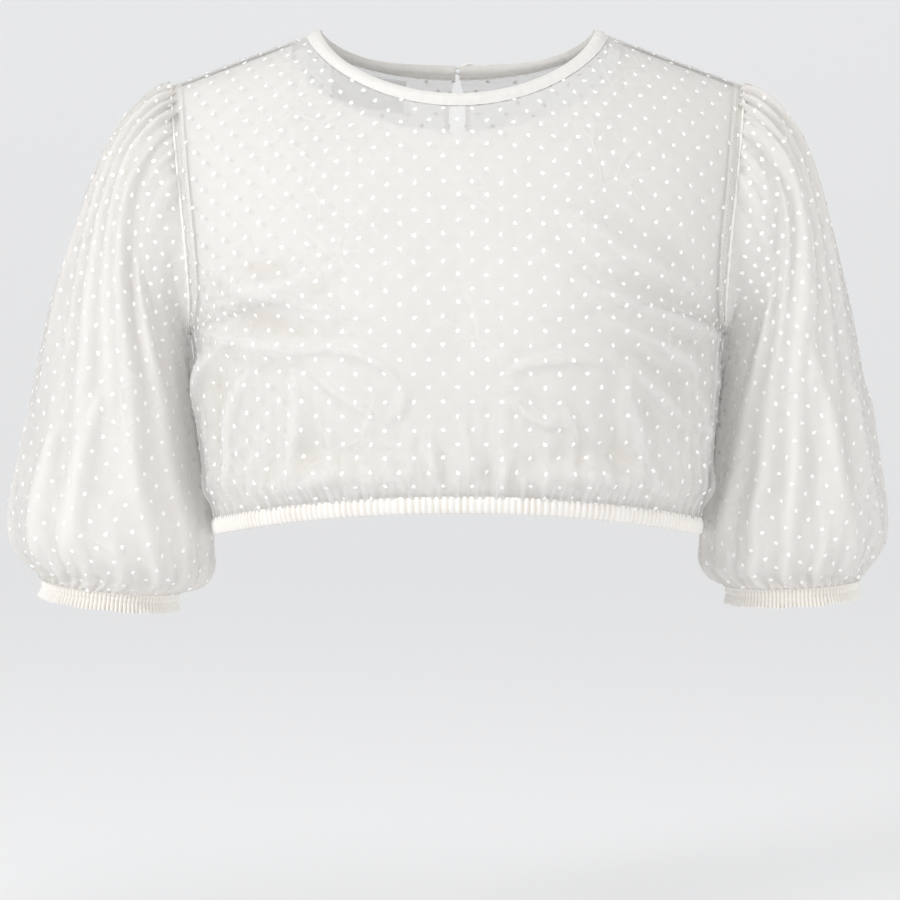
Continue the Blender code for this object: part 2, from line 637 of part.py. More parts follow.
def neck_stations(station):
    """The tulle's neck edge from the wearer's right back edge (-1) round the front (0) to the left one (1).

    Gives the points, the tulle's way off its edge, the tulle's normal, and the binding's up and out.
    """
    turn = np.abs(station)
    flip = np.stack((np.where(station < 0, -1.0, 1.0), *np.ones((2, station.size))), -1)
    found = []
    for panel, across in ((FRONT, np.clip(turn, 0, 0.5)), (BACK, np.clip(1 - turn, 0, 0.5))):
        surface = panel_surface(panel, 1)
        down = np.zeros(station.size)
        edge = surface(across, down)
        axis = edge * (0, 0, 1) + np.array((0, SHOULDER_SEAM_Y, -0.03))
        normal = square_to_seams(normals(surface, across, down, axis), edge, down)
        found.append((edge, edge - surface(across, down + 0.004), normal))
    on_front = (turn <= 0.5)[:, None]
    edge, off_edge, normal = (np.where(on_front, front, back) * flip for front, back in zip(*found))
    run = unit(np.gradient(edge, axis=0))
    off_edge = off_edge - run * (off_edge * run).sum(-1, keepdims=True)
    off_edge = unit(off_edge - normal * (off_edge * normal).sum(-1, keepdims=True))
    flat_out = unit(np.stack((run[:, 1], -run[:, 0], np.zeros(station.size)), -1))
    away = edge - np.array((0, SHOULDER_SEAM_Y, 0))
    flat_out = flat_out * np.where((flat_out * away).sum(-1, keepdims=True) < 0, -1.0, 1.0)
    sideways = np.abs(edge[:, 0] / NECK_HALF_WIDTH) ** 2
    lean = np.radians(BINDING_LEAN_CENTRE + (BINDING_LEAN_SIDE - BINDING_LEAN_CENTRE) * sideways)
    up = -flat_out * np.sin(lean)[:, None] + np.array((0, 0, 1.0)) * np.cos(lean)[:, None]
    up = unit(up - run * (up * run).sum(-1, keepdims=True))
    out = unit(np.cross(run, up))
    out = out * np.where((out * flat_out).sum(-1, keepdims=True) < 0, -1.0, 1.0)
    return edge, off_edge, normal, up, out


def build_binding():
    """The folded strip round the neck edge, open at the centre back."""
    edge, off_edge, normal, up, out = neck_stations(np.linspace(-1, 1, 2 * PANEL_COLUMNS + 1))
    half = BINDING_THICKNESS / 2
    foot = edge + off_edge * (SEAM_GAP + BINDING_EASE)
    forward = np.clip(-edge[:, 1:2] / np.abs(edge[:, 1]).max(), 0, 1)
    width = BINDING_WIDTH + (BINDING_FRONT_WIDTH - BINDING_WIDTH) * forward
    rows = [(foot + normal * half, foot - normal * half)]
    for share, thickness in ((0.45, 1.0), (0.85, 1.0), (1.0, 0.55)):
        middle = foot + up * width * share
        rows.append((middle + out * half * thickness, middle - out * half * thickness))
    return build_wall("neck_binding", rows, "binding_cloth")


def on_binding(aside, above, stand_off):
    """A point over the outside of the binding near the centre back, so far to the left, up and off its face."""
    station = np.concatenate((np.linspace(-1, -0.8, 41), np.linspace(0.8, 1, 41)))
    edge, off_edge, normal, up, out = neck_stations(station)
    order = np.argsort(edge[:, 0])
    across = edge[order, 0]
    edge, up, out = (
        np.stack([np.interp(aside, across, values[order, axis]) for axis in range(3)], -1) for values in (edge, up, out)
    )
    off_face = np.reshape(BINDING_THICKNESS / 2 + stand_off, (-1, 1))
    return edge + up * np.reshape(above, (-1, 1)) + out * off_face


def build_label():
    """The bare label inside the back neck, hanging from the binding on the wearer's right."""
    surface = panel_surface(BACK, -1)
    rows = []
    for down in np.linspace(*LABEL_DOWN, 5):
        across = np.linspace(*LABEL_ACROSS, 8)
        level = np.full(across.size, down)
        points = surface(across, level)
        axis = points * (0, 0, 1) + np.array((0, SHOULDER_SEAM_Y, -0.03))
        outward = normals(surface, across, level, axis)
        rows.append(both_sides(points - outward * LABEL_INSIDE, outward, LABEL_THICKNESS))
    return build_wall("label", rows, "label_satin")


def build_button():
    """A small domed button on the wearer's left end of the binding, turned about its own middle."""
    middle = on_binding(np.array([BUTTON_X]), BINDING_WIDTH / 2, SEAM_GAP)[0]
    beside = on_binding(np.array([BUTTON_X + 0.001]), BINDING_WIDTH / 2, SEAM_GAP)[0]
    above = on_binding(np.array([BUTTON_X]), BINDING_WIDTH / 2 + 0.001, SEAM_GAP)[0]
    right, up = unit(beside - middle), unit(above - middle)
    out = unit(np.cross(up, right))
    steps = 28
    turn = 2 * np.pi * np.arange(steps) / steps
    ring = right * np.cos(turn)[:, None] + up * np.sin(turn)[:, None]
    vertices, rings = [], []
    for radius, height in BUTTON_PROFILE:
        rings.append(list(range(len(vertices), len(vertices) + steps)))
        vertices.extend(middle + ring * radius + out * height)
    faces = [tuple(rings[0][::-1]), tuple(rings[-1])]
    for lower, upper in zip(rings[:-1], rings[1:]):
        faces += [(lower[i], lower[i - steps + 1], upper[i - steps + 1], upper[i]) for i in range(steps)]
    return new_object("button", vertices, faces, "button_shell")


def build_loop():
    """The cord loop from the wearer's right end of the binding round the button."""
    steps, sides = 40, 8
    turn = 2 * np.pi * np.arange(steps) / steps
    reach = BUTTON_RADIUS + SEAM_GAP + LOOP_RADIUS + 0.0002
    drawn = np.clip(-np.cos(turn), 0, 1) ** 3
    aside = BUTTON_X + reach * np.cos(turn) - LOOP_TAIL * drawn
    above = BINDING_WIDTH / 2 + reach * np.sin(turn) * (1 - 0.45 * drawn)
    path = on_binding(aside, above, SEAM_GAP + LOOP_RADIUS + 0.0002)
    off = on_binding(aside, above, SEAM_GAP + LOOP_RADIUS + 0.0012)
    run = unit(np.roll(path, -1, axis=0) - np.roll(path, 1, axis=0))
    out = unit(off - path)
    side = unit(np.cross(run, out))
    out = np.cross(side, run)
    vertices = []
    for number in range(steps):
        for part in range(sides):
            angle = 2 * np.pi * part / sides
            around = out[number] * np.cos(angle) + side[number] * np.sin(angle)
            vertices.append(path[number] + around * LOOP_RADIUS)
    faces = []
    for number in range(steps):
        here, onward = number * sides, (number + 1) % steps * sides
        for part in range(sides):
            beside = (part + 1) % sides
            faces.append((here + part, here + beside, onward + beside, onward + part))
    return new_object("button_loop", vertices, faces, "binding_cloth")


def main():
    for old in list(bpy.data.objects):
        bpy.data.objects.remove(old, do_unlink=True)
    build_front()
    build_back("back_left", 1)
    build_back("back_right", -1)
    build_lining("lining_front", LINING_FRONT)
    build_lining("lining_back", LINING_BACK)
    for which in ("left", "right"):
        build_sleeve(which)
        build_cuff(which)
    build_hem_band()
    build_binding()
    build_label()
    build_button()
    build_loop()


main()
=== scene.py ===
"""The looks of a cropped dirndl blouse: ivory dotted tulle over a body lining, with gathered puff sleeves.

Metres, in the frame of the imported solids: +Z up, the front faces -Y and the wearer's left is +X. Each piece
of cloth is worked out again here at full fineness on its solid's form, with its folds, gathers and dots.
"""

import bmesh
import bpy
import numpy as np
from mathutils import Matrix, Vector


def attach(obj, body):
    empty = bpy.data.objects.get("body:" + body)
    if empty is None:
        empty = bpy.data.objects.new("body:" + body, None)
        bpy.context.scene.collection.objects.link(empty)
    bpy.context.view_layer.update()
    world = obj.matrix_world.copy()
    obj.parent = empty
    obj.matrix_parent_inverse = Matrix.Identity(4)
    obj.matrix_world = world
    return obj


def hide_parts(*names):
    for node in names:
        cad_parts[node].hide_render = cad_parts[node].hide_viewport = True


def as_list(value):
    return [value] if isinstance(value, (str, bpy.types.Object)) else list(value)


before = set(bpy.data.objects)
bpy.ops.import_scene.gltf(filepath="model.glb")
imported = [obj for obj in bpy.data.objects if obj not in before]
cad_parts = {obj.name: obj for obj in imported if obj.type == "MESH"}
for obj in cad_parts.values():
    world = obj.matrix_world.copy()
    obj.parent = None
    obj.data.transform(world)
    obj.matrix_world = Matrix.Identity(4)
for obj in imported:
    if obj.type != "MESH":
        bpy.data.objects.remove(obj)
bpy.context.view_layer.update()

# Seams, neck, shoulders, armholes and hem, as the solids have them.
SEAM_GAP = 0.0003
SHOULDER_SEAM_Y = 0.005
NECK_HALF_WIDTH = 0.0966
NECK_POINT_Z = -0.005
SHOULDER_HALF_WIDTH = 0.186
SHOULDER_POINT_Z = -0.0380
FRONT_NECK_Z, BACK_NECK_Z = -0.0512, -0.0315
FRONT_NECK_ROUNDNESS, BACK_NECK_ROUNDNESS = 1.42, 1.3
SHOULDER_ROUND = {"front": 0.078, "back": 0.066}
UNDERARM_Z = -0.200
SIDE_HEM_Z = -0.331
HEM_RISE = {"front": 0.023, "back": 0.013}
HEM_CURVE = 1.6
SLIT_LENGTH, SLIT_HALF_WIDTH, SLIT_TOP_HALF_WIDTH = 0.062, 0.0048, 0.0012
BUST_FULLNESS = 0.009
BUST_X, BUST_Z, BUST_WIDTH, BUST_HEIGHT = 0.078, -0.195, 0.048, 0.052
SECTION_SQUARENESS = 0.87
BAND_HEIGHT = 0.0090
BINDING_WIDTH, BINDING_FRONT_WIDTH, BINDING_THICKNESS = 0.0088, 0.0072, 0.0026
BINDING_LEAN_CENTRE, BINDING_LEAN_SIDE = 18.0, 62.0
SLEEVE_SEAM_OFFSET = 0.0014
LINING_NECK_HALF_WIDTH = 0.109
LINING_FRONT_NECK_Z, LINING_BACK_NECK_Z = -0.0675, -0.097
LINING_NECK_ROUNDNESS = 1.15
LINING_TOP_DEPTH, LINING_HEM_DEPTH, LINING_LOOSENESS = 0.0027, 0.0036, 0.0020

# The weave of the tulle: a staggered lattice of woven dots, and the net between them.
DOT_COLUMN, DOT_ROW = 0.0182, 0.0178
DOT_RADIUS, DOT_HEIGHT, DOT_JITTER = 0.00172, 0.00045, 0.00035
NET_PITCH = 0.00085
SLEEVE_GRAIN = {"left": 0.20, "right": -0.20}


class Table:
    """Sizes in named columns, joined by smooth curves that are read at any value of the first column."""

    def __init__(self, columns, rows):
        self.columns = columns
        self.rows = np.array(sorted(rows), float)

    def __call__(self, column, key):
        keys = self.rows[:, 0]
        values = self.rows[:, self.columns.index(column)]
        slopes = np.gradient(values, keys)
        key = np.clip(key, keys[0], keys[-1])
        at = np.clip(np.searchsorted(keys, key, side="right") - 1, 0, len(keys) - 2)
        step = keys[at + 1] - keys[at]
        t = (key - keys[at]) / step
        start = (1 + 2 * t) * (1 - t) ** 2 * values[at] + t * (1 - t) ** 2 * step * slopes[at]
        end = t**2 * (3 - 2 * t) * values[at + 1] + t**2 * (t - 1) * step * slopes[at + 1]
        return start + end


TORSO = Table(
    ("height", "half_width", "front_depth", "back_depth"),
    (
        (0.010, 0.2000, 0.060, 0.070),
        (-0.045, 0.1960, 0.071, 0.082),
        (-0.100, 0.1915, 0.095, 0.096),
        (-0.150, 0.1860, 0.114, 0.101),
        (-0.200, 0.1745, 0.123, 0.100),
        (-0.245, 0.1710, 0.123, 0.096),
        (-0.290, 0.1675, 0.119, 0.090),
        (-0.322, 0.1600, 0.109, 0.084),
        (-0.335, 0.1590, 0.107, 0.082),
    ),
)
ARMHOLE = Table(
    ("height", "x"),
    (
        (SHOULDER_POINT_Z, SHOULDER_HALF_WIDTH),
        (-0.070, 0.1825),
        (-0.100, 0.1790),
        (-0.150, 0.1735),
        (-0.180, 0.1722),
        (-0.194, 0.1735),
        (UNDERARM_Z, 0.1745),
    ),
)
SLEEVE_COLUMN_NAMES = ("along", "outer_x", "outer_z", "inner_x", "inner_z", "half_depth", "middle_y")
SLEEVES = {
    "left": Table(
        SLEEVE_COLUMN_NAMES,
        (
            (0.000, 0.1860, -0.0385, 0.1745, -0.2000, 0.0460, 0.005),
            (0.045, 0.1988, -0.0419, 0.1790, -0.2011, 0.0520, 0.007),
            (0.100, 0.2128, -0.0548, 0.1762, -0.2054, 0.0560, 0.010),
            (0.180, 0.2291, -0.0829, 0.1744, -0.2148, 0.0580, 0.014),
            (0.290, 0.2436, -0.1253, 0.1730, -0.2293, 0.0600, 0.017),
            (0.410, 0.2565, -0.1730, 0.1716, -0.2469, 0.0610, 0.019),
            (0.540, 0.2668, -0.2250, 0.1696, -0.2686, 0.0620, 0.020),
            (0.670, 0.2749, -0.2771, 0.1668, -0.2934, 0.0630, 0.020),
            (0.790, 0.2807, -0.3169, 0.1612, -0.3200, 0.0630, 0.019),
            (0.860, 0.2797, -0.3363, 0.1610, -0.3394, 0.0610, 0.018),
            (0.920, 0.2736, -0.3501, 0.1620, -0.3536, 0.0560, 0.018),
            (0.965, 0.2680, -0.3577, 0.1700, -0.3618, 0.0490, 0.018),
            (1.000, 0.2659, -0.3623, 0.1768, -0.3669, 0.0455, 0.018),
        ),
    ),
    "right": Table(
        SLEEVE_COLUMN_NAMES,
        (
            (0.000, 0.1860, -0.0385, 0.1745, -0.2000, 0.0460, 0.005),
            (0.045, 0.1987, -0.0419, 0.1790, -0.2011, 0.0520, 0.007),
            (0.100, 0.2132, -0.0549, 0.1762, -0.2053, 0.0560, 0.010),
            (0.180, 0.2304, -0.0829, 0.1744, -0.2147, 0.0580, 0.014),
            (0.290, 0.2486, -0.1252, 0.1730, -0.2291, 0.0600, 0.017),
            (0.410, 0.2653, -0.1728, 0.1718, -0.2466, 0.0620, 0.019),
            (0.540, 0.2774, -0.2245, 0.1699, -0.2681, 0.0640, 0.020),
            (0.670, 0.2868, -0.2764, 0.1671, -0.2926, 0.0660, 0.020),
            (0.790, 0.2931, -0.3171, 0.1615, -0.3221, 0.0670, 0.019),
            (0.860, 0.2905, -0.3363, 0.1615, -0.3434, 0.0650, 0.018),
            (0.920, 0.2829, -0.3495, 0.1620, -0.3586, 0.0590, 0.018),
            (0.965, 0.2773, -0.3566, 0.1700, -0.3668, 0.0510, 0.018),
            (1.000, 0.2753, -0.3617, 0.1835, -0.3718, 0.0455, 0.018),
        ),
    ),
}
CUFF = Table(
    ("along", "drop", "spread", "pleat_depth"),
    (
        (0.00, 0.0000, 0.0002, 0.0006),
        (0.12, 0.0012, -0.0008, 0.0006),
        (0.30, 0.0032, -0.0012, 0.0006),
        (0.50, 0.0056, -0.0013, 0.0006),
        (0.66, 0.0074, -0.0010, 0.0006),
        (0.80, 0.0090, -0.0004, 0.0008),
        (1.00, 0.0116, 0.0003, 0.0010),
    ),
)
CUFF_PLEATS = 104

# Creases of the front, in the photograph's plane: a curve through three points, its height and its width.
FRONT_CREASES = (
    # start x, z, middle x, z, end x, z, height, width
    (0.070, -0.120, 0.110, -0.150, 0.160, -0.172, 0.0022, 0.0100),
    (0.082, -0.166, 0.122, -0.182, 0.168, -0.200, 0.0028, 0.0080),
    (0.092, -0.186, 0.132, -0.205, 0.168, -0.232, 0.0026, 0.0070),
    (0.098, -0.206, 0.126, -0.236, 0.160, -0.262, 0.0022, 0.0065),
    (0.106, -0.222, 0.112, -0.262, 0.128, -0.300, 0.0030, 0.0070),
    (0.146, -0.216, 0.158, -0.250, 0.152, -0.296, 0.0026, 0.0060),
    (0.162, -0.190, 0.166, -0.230, 0.160, -0.285, 0.0022, 0.0050),
    (0.040, -0.288, 0.080, -0.297, 0.120, -0.303, 0.0048, 0.0110),
    (0.066, -0.280, 0.100, -0.286, 0.136, -0.300, 0.0026, 0.0080),
    (0.036, -0.236, 0.048, -0.250, 0.070, -0.252, 0.0014, 0.0035),
    (0.030, -0.220, 0.060, -0.210, 0.092, -0.214, 0.0014, 0.0035),
    (0.066, -0.240, 0.076, -0.262, 0.070, -0.280, 0.0012, 0.0035),
    (-0.072, -0.152, -0.118, -0.168, -0.160, -0.180, 0.0022, 0.0090),
    (-0.066, -0.186, -0.110, -0.176, -0.160, -0.156, 0.0024, 0.0090),
    (-0.086, -0.205, -0.122, -0.206, -0.164, -0.196, 0.0022, 0.0070),
    (-0.104, -0.220, -0.100, -0.256, -0.114, -0.296, 0.0026, 0.0065),
    (-0.128, -0.214, -0.146, -0.246, -0.144, -0.296, 0.0026, 0.0065),
    (-0.160, -0.200, -0.166, -0.240, -0.158, -0.292, 0.0024, 0.0055),
    (-0.142, -0.198, -0.166, -0.222, -0.168, -0.250, 0.0022, 0.0050),
    (-0.036, -0.290, -0.082, -0.297, -0.126, -0.304, 0.0044, 0.0110),
    (-0.070, -0.278, -0.102, -0.290, -0.138, -0.298, 0.0024, 0.0080),
    (-0.096, -0.206, -0.060, -0.206, -0.036, -0.226, 0.0014, 0.0035),
    (-0.036, -0.226, -0.034, -0.240, -0.046, -0.252, 0.0014, 0.0032),
    (-0.088, -0.222, -0.070, -0.236, -0.048, -0.248, 0.0012, 0.0032),
    (-0.008, -0.300, -0.016, -0.280, -0.018, -0.256, 0.0016, 0.0042),
    (0.006, -0.300, 0.008, -0.278, 0.004, -0.250, 0.0018, 0.0042),
    (0.020, -0.300, 0.030, -0.284, 0.036, -0.262, 0.0016, 0.0042),
    (-0.026, -0.300, -0.040, -0.286, -0.050, -0.268, 0.0014, 0.0042),
)
BACK_CREASES = (
    (0.050, -0.110, 0.100, -0.140, 0.158, -0.160, 0.0024, 0.0100),
    (0.040, -0.180, 0.096, -0.180, 0.160, -0.190, 0.0024, 0.0090),
    (0.060, -0.230, 0.110, -0.214, 0.164, -0.212, 0.0026, 0.0080),
    (0.140, -0.216, 0.152, -0.250, 0.146, -0.300, 0.0026, 0.0065),
    (0.100, -0.240, 0.106, -0.270, 0.098, -0.305, 0.0026, 0.0065),
    (0.030, -0.290, 0.076, -0.297, 0.120, -0.303, 0.0042, 0.0110),
    (-0.046, -0.116, -0.104, -0.136, -0.160, -0.150, 0.0024, 0.0100),
    (-0.050, -0.190, -0.100, -0.192, -0.160, -0.184, 0.0024, 0.0090),
    (-0.056, -0.222, -0.112, -0.222, -0.164, -0.206, 0.0024, 0.0080),
    (-0.136, -0.210, -0.156, -0.250, -0.150, -0.300, 0.0026, 0.0065),
    (-0.090, -0.246, -0.096, -0.276, -0.110, -0.305, 0.0026, 0.0065),
    (-0.030, -0.292, -0.082, -0.298, -0.126, -0.304, 0.0042, 0.0110),
    (-0.012, -0.306, -0.016, -0.280, -0.026, -0.250, 0.0016, 0.0045),
    (0.014, -0.306, 0.020, -0.282, 0.018, -0.250, 0.0016, 0.0045),
)

# How much deeper the worn creases are than the table gives them.
CREASE_DEPTH = 1.5

# Long folds of the sleeves: where round the sleeve each starts and ends (0 is the shoulder, positive the
# front and 0.5 the underarm), from where to where along it, its height and its width.
SLEEVE_FOLDS = {
    "left": (
        # start round, end round, start along, end along, height, width
        (0.055, 0.030, 0.00, 0.46, 0.0022, 0.0055),
        (0.095, 0.110, 0.00, 0.60, 0.0034, 0.0065),
        (0.135, 0.175, 0.00, 0.78, 0.0036, 0.0070),
        (0.175, 0.235, 0.00, 0.70, 0.0042, 0.0070),
        (0.215, 0.290, 0.02, 0.96, 0.0044, 0.0085),
        (0.265, 0.350, 0.06, 0.90, 0.0038, 0.0080),
        (0.330, 0.420, 0.20, 0.92, 0.0034, 0.0080),
        (0.200, 0.150, 0.42, 0.98, 0.0030, 0.0080),
        (0.110, 0.060, 0.52, 0.98, 0.0032, 0.0090),
        (0.010, -0.020, 0.55, 0.98, 0.0026, 0.0090),
        (-0.050, -0.030, 0.00, 0.50, 0.0026, 0.0065),
        (-0.110, -0.130, 0.00, 0.72, 0.0036, 0.0080),
        (-0.170, -0.215, 0.00, 0.80, 0.0038, 0.0080),
        (-0.230, -0.300, 0.02, 0.94, 0.0040, 0.0085),
        (-0.310, -0.380, 0.20, 0.92, 0.0034, 0.0085),
        (-0.100, -0.160, 0.50, 0.98, 0.0030, 0.0090),
        (0.470, 0.490, 0.20, 0.90, 0.0026, 0.0080),
    ),
    "right": (
        (0.040, 0.020, 0.00, 0.40, 0.0024, 0.0055),
        (0.080, 0.085, 0.00, 0.66, 0.0030, 0.0060),
        (0.120, 0.150, 0.00, 0.56, 0.0036, 0.0065),
        (0.160, 0.215, 0.00, 0.84, 0.0042, 0.0075),
        (0.205, 0.265, 0.00, 0.74, 0.0040, 0.0070),
        (0.250, 0.330, 0.04, 0.97, 0.0044, 0.0085),
        (0.320, 0.400, 0.16, 0.92, 0.0036, 0.0080),
        (0.225, 0.170, 0.50, 0.98, 0.0032, 0.0080),
        (0.140, 0.100, 0.60, 0.98, 0.0030, 0.0080),
        (0.050, -0.010, 0.58, 0.98, 0.0032, 0.0090),
        (-0.040, -0.060, 0.00, 0.56, 0.0026, 0.0065),
        (-0.100, -0.140, 0.00, 0.66, 0.0036, 0.0080),
        (-0.160, -0.200, 0.00, 0.86, 0.0038, 0.0080),
        (-0.240, -0.310, 0.04, 0.90, 0.0040, 0.0085),
        (-0.330, -0.400, 0.22, 0.92, 0.0034, 0.0085),
        (-0.090, -0.130, 0.52, 0.98, 0.0032, 0.0090),
        (0.460, 0.480, 0.20, 0.90, 0.0026, 0.0080),
    ),
}

# Width of the gathered sleeve cloth before it is drawn up, and half the width of an armhole's seam edges.
SLEEVE_CUT_WIDTH = 0.44
SEAM_MIDDLE = 0.0033

# The bare label inside the back neck, across and down the back panel, and how far inside it hangs.
LABEL_ACROSS, LABEL_DOWN, LABEL_INSIDE = (0.110, 0.330), (0.004, 0.085), 0.0040

# Fineness of the cloth.
PANEL_COLUMNS, PANEL_ROWS = 130, 170
LINING_COLUMNS, LINING_ROWS = 60, 90
SLEEVE_COLUMNS, SLEEVE_ROWS = 400, 150
CUFF_COLUMNS, CUFF_ROWS = 1040, 22
HEM_COLUMNS = 2400
BINDING_STATIONS = 721

# Gathers round the hem band, and its section: height above the hem and distance out, from its top round
# the rolled edge and up the inside.
HEM_GATHERS = 236
HEM_SECTION = (
    (0.0112, -0.0010),
    (0.0098, -0.0003),
    (0.0088, 0.0003),
    (0.0070, 0.0009),
    (0.0046, 0.0010),
    (0.0022, 0.0008),
    (0.0006, 0.0003),
    (0.0000, -0.0006),
    (0.0004, -0.0018),
    (0.0024, -0.0028),
    (0.0060, -0.0030),
    (0.0088, -0.0028),
)


# Shared sums.
def unit(vectors):
    return vectors / np.maximum(np.linalg.norm(vectors, axis=-1, keepdims=True), 1e-12)


def smooth(share):
    share = np.clip(share, 0, 1)
    return share * share * (3 - 2 * share)


def wander(seed, *places):
    """A smooth, uneven value from -1 to 1 over places counted in bumps."""
    rng = np.random.default_rng(seed)
    total = 0.0
    for size in (1.0, 1.7, 2.6):
        turn = sum(
            np.asarray(place) * size * rng.uniform(0.7, 1.3) * rng.choice((-1, 1)) for place in places
        )
        total = total + np.sin(turn + rng.uniform(0, 6.28)) / size
    return total / 1.97


def grid_normals(points, closed, outward_from):
    """Unit normals of a grid of points (rows, columns), turned away from outward_from."""
    if closed:
        across = np.roll(points, -1, axis=1) - np.roll(points, 1, axis=1)
    else:
        across = np.gradient(points, axis=1)
    found = unit(np.cross(across, np.gradient(points, axis=0)))
    away = points - outward_from
    return found * np.where((found * away).sum(-1, keepdims=True) < 0, -1.0, 1.0)


# The form of the body.
def towards(side):
    return {"back": 1.0, "front": -1.0, "left": 1.0, "right": -1.0}[side]


def shoulder_line(x):
    slope = (SHOULDER_POINT_Z - NECK_POINT_Z) / (SHOULDER_HALF_WIDTH - NECK_HALF_WIDTH)
    return NECK_POINT_Z + slope * np.maximum(np.abs(x) - NECK_HALF_WIDTH, 0)


def torso(side, angle, height):
    """A point of the front or back over the figure, at an angle from the centre line round to the side."""
    x = TORSO("half_width", height) * np.sin(angle)
    drop = np.clip((shoulder_line(x) - height) / SHOULDER_ROUND[side], 0, 1)
    over_shoulder = np.sqrt(np.maximum(1 - (1 - drop) ** 2, 0))
    depth = TORSO(side + "_depth", height) * np.cos(np.clip(angle, -1.5707, 1.5707)) ** SECTION_SQUARENESS
    if side == "front":
        across = (np.abs(x) - BUST_X) / BUST_WIDTH
        up = (height - BUST_Z) / BUST_HEIGHT
        depth = depth + BUST_FULLNESS * np.exp(-0.5 * (across**2 + up**2)) * np.cos(angle)
    y = SHOULDER_SEAM_Y + towards(side) * (SEAM_GAP / 2 + depth * over_shoulder)
    return np.stack(np.broadcast_arrays(x, y, height), axis=-1)


def hem_height(side, angle):
    return SIDE_HEM_Z + HEM_RISE[side] * np.abs(np.cos(angle)) ** HEM_CURVE


def slit_edge(height):
    share = np.clip((BACK_NECK_Z - height) / SLIT_LENGTH, 0, 1)
    return SEAM_GAP / 2 + SLIT_HALF_WIDTH * np.sin(np.pi * share) ** 0.8 + SLIT_TOP_HALF_WIDTH * (1 - share)


class Panel:
    """One body panel's cut on the figure: across from the centre line (0) to the side (1), and down."""

    def __init__(self, side, neck_half_width, neck_z, roundness, slit=False):
        self.side, self.neck_half_width, self.neck_z = side, neck_half_width, neck_z
        self.roundness, self.slit = roundness, slit

    def slit_width(self, height):
        return slit_edge(height) if self.slit else np.zeros_like(height)

    def angle(self, x, height):
        return np.arcsin(np.clip(x / TORSO("half_width", height), 0, 1))

    def top(self, across):
        turn = np.clip(across * 2, 0, 1) * np.pi / 2
        start = self.slit_width(self.neck_z) if self.slit else 0.0
        neck_x = start + (self.neck_half_width - start) * np.sin(turn)
        corner = shoulder_line(self.neck_half_width)
        neck_height = corner + (self.neck_z - corner) * np.cos(turn) ** self.roundness
        out = np.clip(across * 2 - 1, 0, 1)
        shoulder_x = self.neck_half_width + (SHOULDER_HALF_WIDTH - self.neck_half_width) * out
        x = np.where(across <= 0.5, neck_x, shoulder_x)
        height = np.where(across <= 0.5, neck_height, shoulder_line(shoulder_x))
        return self.angle(x, height), height

    def edge(self, down):
        height = SHOULDER_POINT_Z + (SIDE_HEM_Z + BAND_HEIGHT + SEAM_GAP - SHOULDER_POINT_Z) * down
        on_armhole = self.angle(ARMHOLE("x", height), height)
        return np.where(height > UNDERARM_Z + 1e-6, on_armhole, np.pi / 2), height

    def centre(self, down):
        bottom = hem_height(self.side, 0.0) + BAND_HEIGHT + SEAM_GAP
        height = self.neck_z + (bottom - self.neck_z) * down
        return self.angle(self.slit_width(height), height), height

    def hem(self, across):
        turned = across * np.pi / 2
        height = hem_height(self.side, turned) + BAND_HEIGHT + SEAM_GAP
        start = self.angle(self.slit_width(height), height)
        return start + (np.pi / 2 - start) * across, height

    def place(self, across, down):
        """The angle and height of a point inside the four edges, blended from all of them."""
        found = []
        for part in (0, 1):
            top, hem = self.top(across)[part], self.hem(across)[part]
            centre, edge = self.centre(down)[part], self.edge(down)[part]
            top_start, top_end = self.top(np.zeros(1))[part], self.top(np.ones(1))[part]
            hem_start, hem_end = self.hem(np.zeros(1))[part], self.hem(np.ones(1))[part]
            along = (1 - down) * top + down * hem + (1 - across) * centre + across * edge
            corners = (1 - across) * ((1 - down) * top_start + down * hem_start)
            found.append(along - corners - across * ((1 - down) * top_end + down * hem_end))
        return found

    def grid(self, across, down):
        """Points of the panel over signed across and down values, mirrored where across is negative."""
        angle, height = self.place(np.abs(across), down)
        flip = np.stack((np.where(across < 0, -1.0, 1.0), *np.ones((2, *across.shape))), -1)
        return torso(self.side, angle, height) * flip


FRONT = Panel("front", NECK_HALF_WIDTH, FRONT_NECK_Z, FRONT_NECK_ROUNDNESS)
BACK = Panel("back", NECK_HALF_WIDTH, BACK_NECK_Z, BACK_NECK_ROUNDNESS, slit=True)
LINING_FRONT = Panel("front", LINING_NECK_HALF_WIDTH, LINING_FRONT_NECK_Z, LINING_NECK_ROUNDNESS)
LINING_BACK = Panel("back", LINING_NECK_HALF_WIDTH, LINING_BACK_NECK_Z, LINING_NECK_ROUNDNESS)
BODY_AXIS = np.array((0, SHOULDER_SEAM_Y, -0.03))
UNDERARM_DOWN = (UNDERARM_Z - SHOULDER_POINT_Z) / (SIDE_HEM_Z + BAND_HEIGHT + SEAM_GAP - SHOULDER_POINT_Z)


def body_normals(points, down):
    """The panel's normals, turned square to the shoulder and side seams and level at the hem band."""
    found = grid_normals(points, False, points * (0, 0, 1) + BODY_AXIS)
    to_seam = np.clip(np.abs(points[..., 1] - SHOULDER_SEAM_Y) / 0.012, 0, 1)
    to_band = np.clip((1 - down) / 0.04, 0, 1)
    return unit(found * np.stack((np.ones(down.shape), to_seam, to_band), -1))


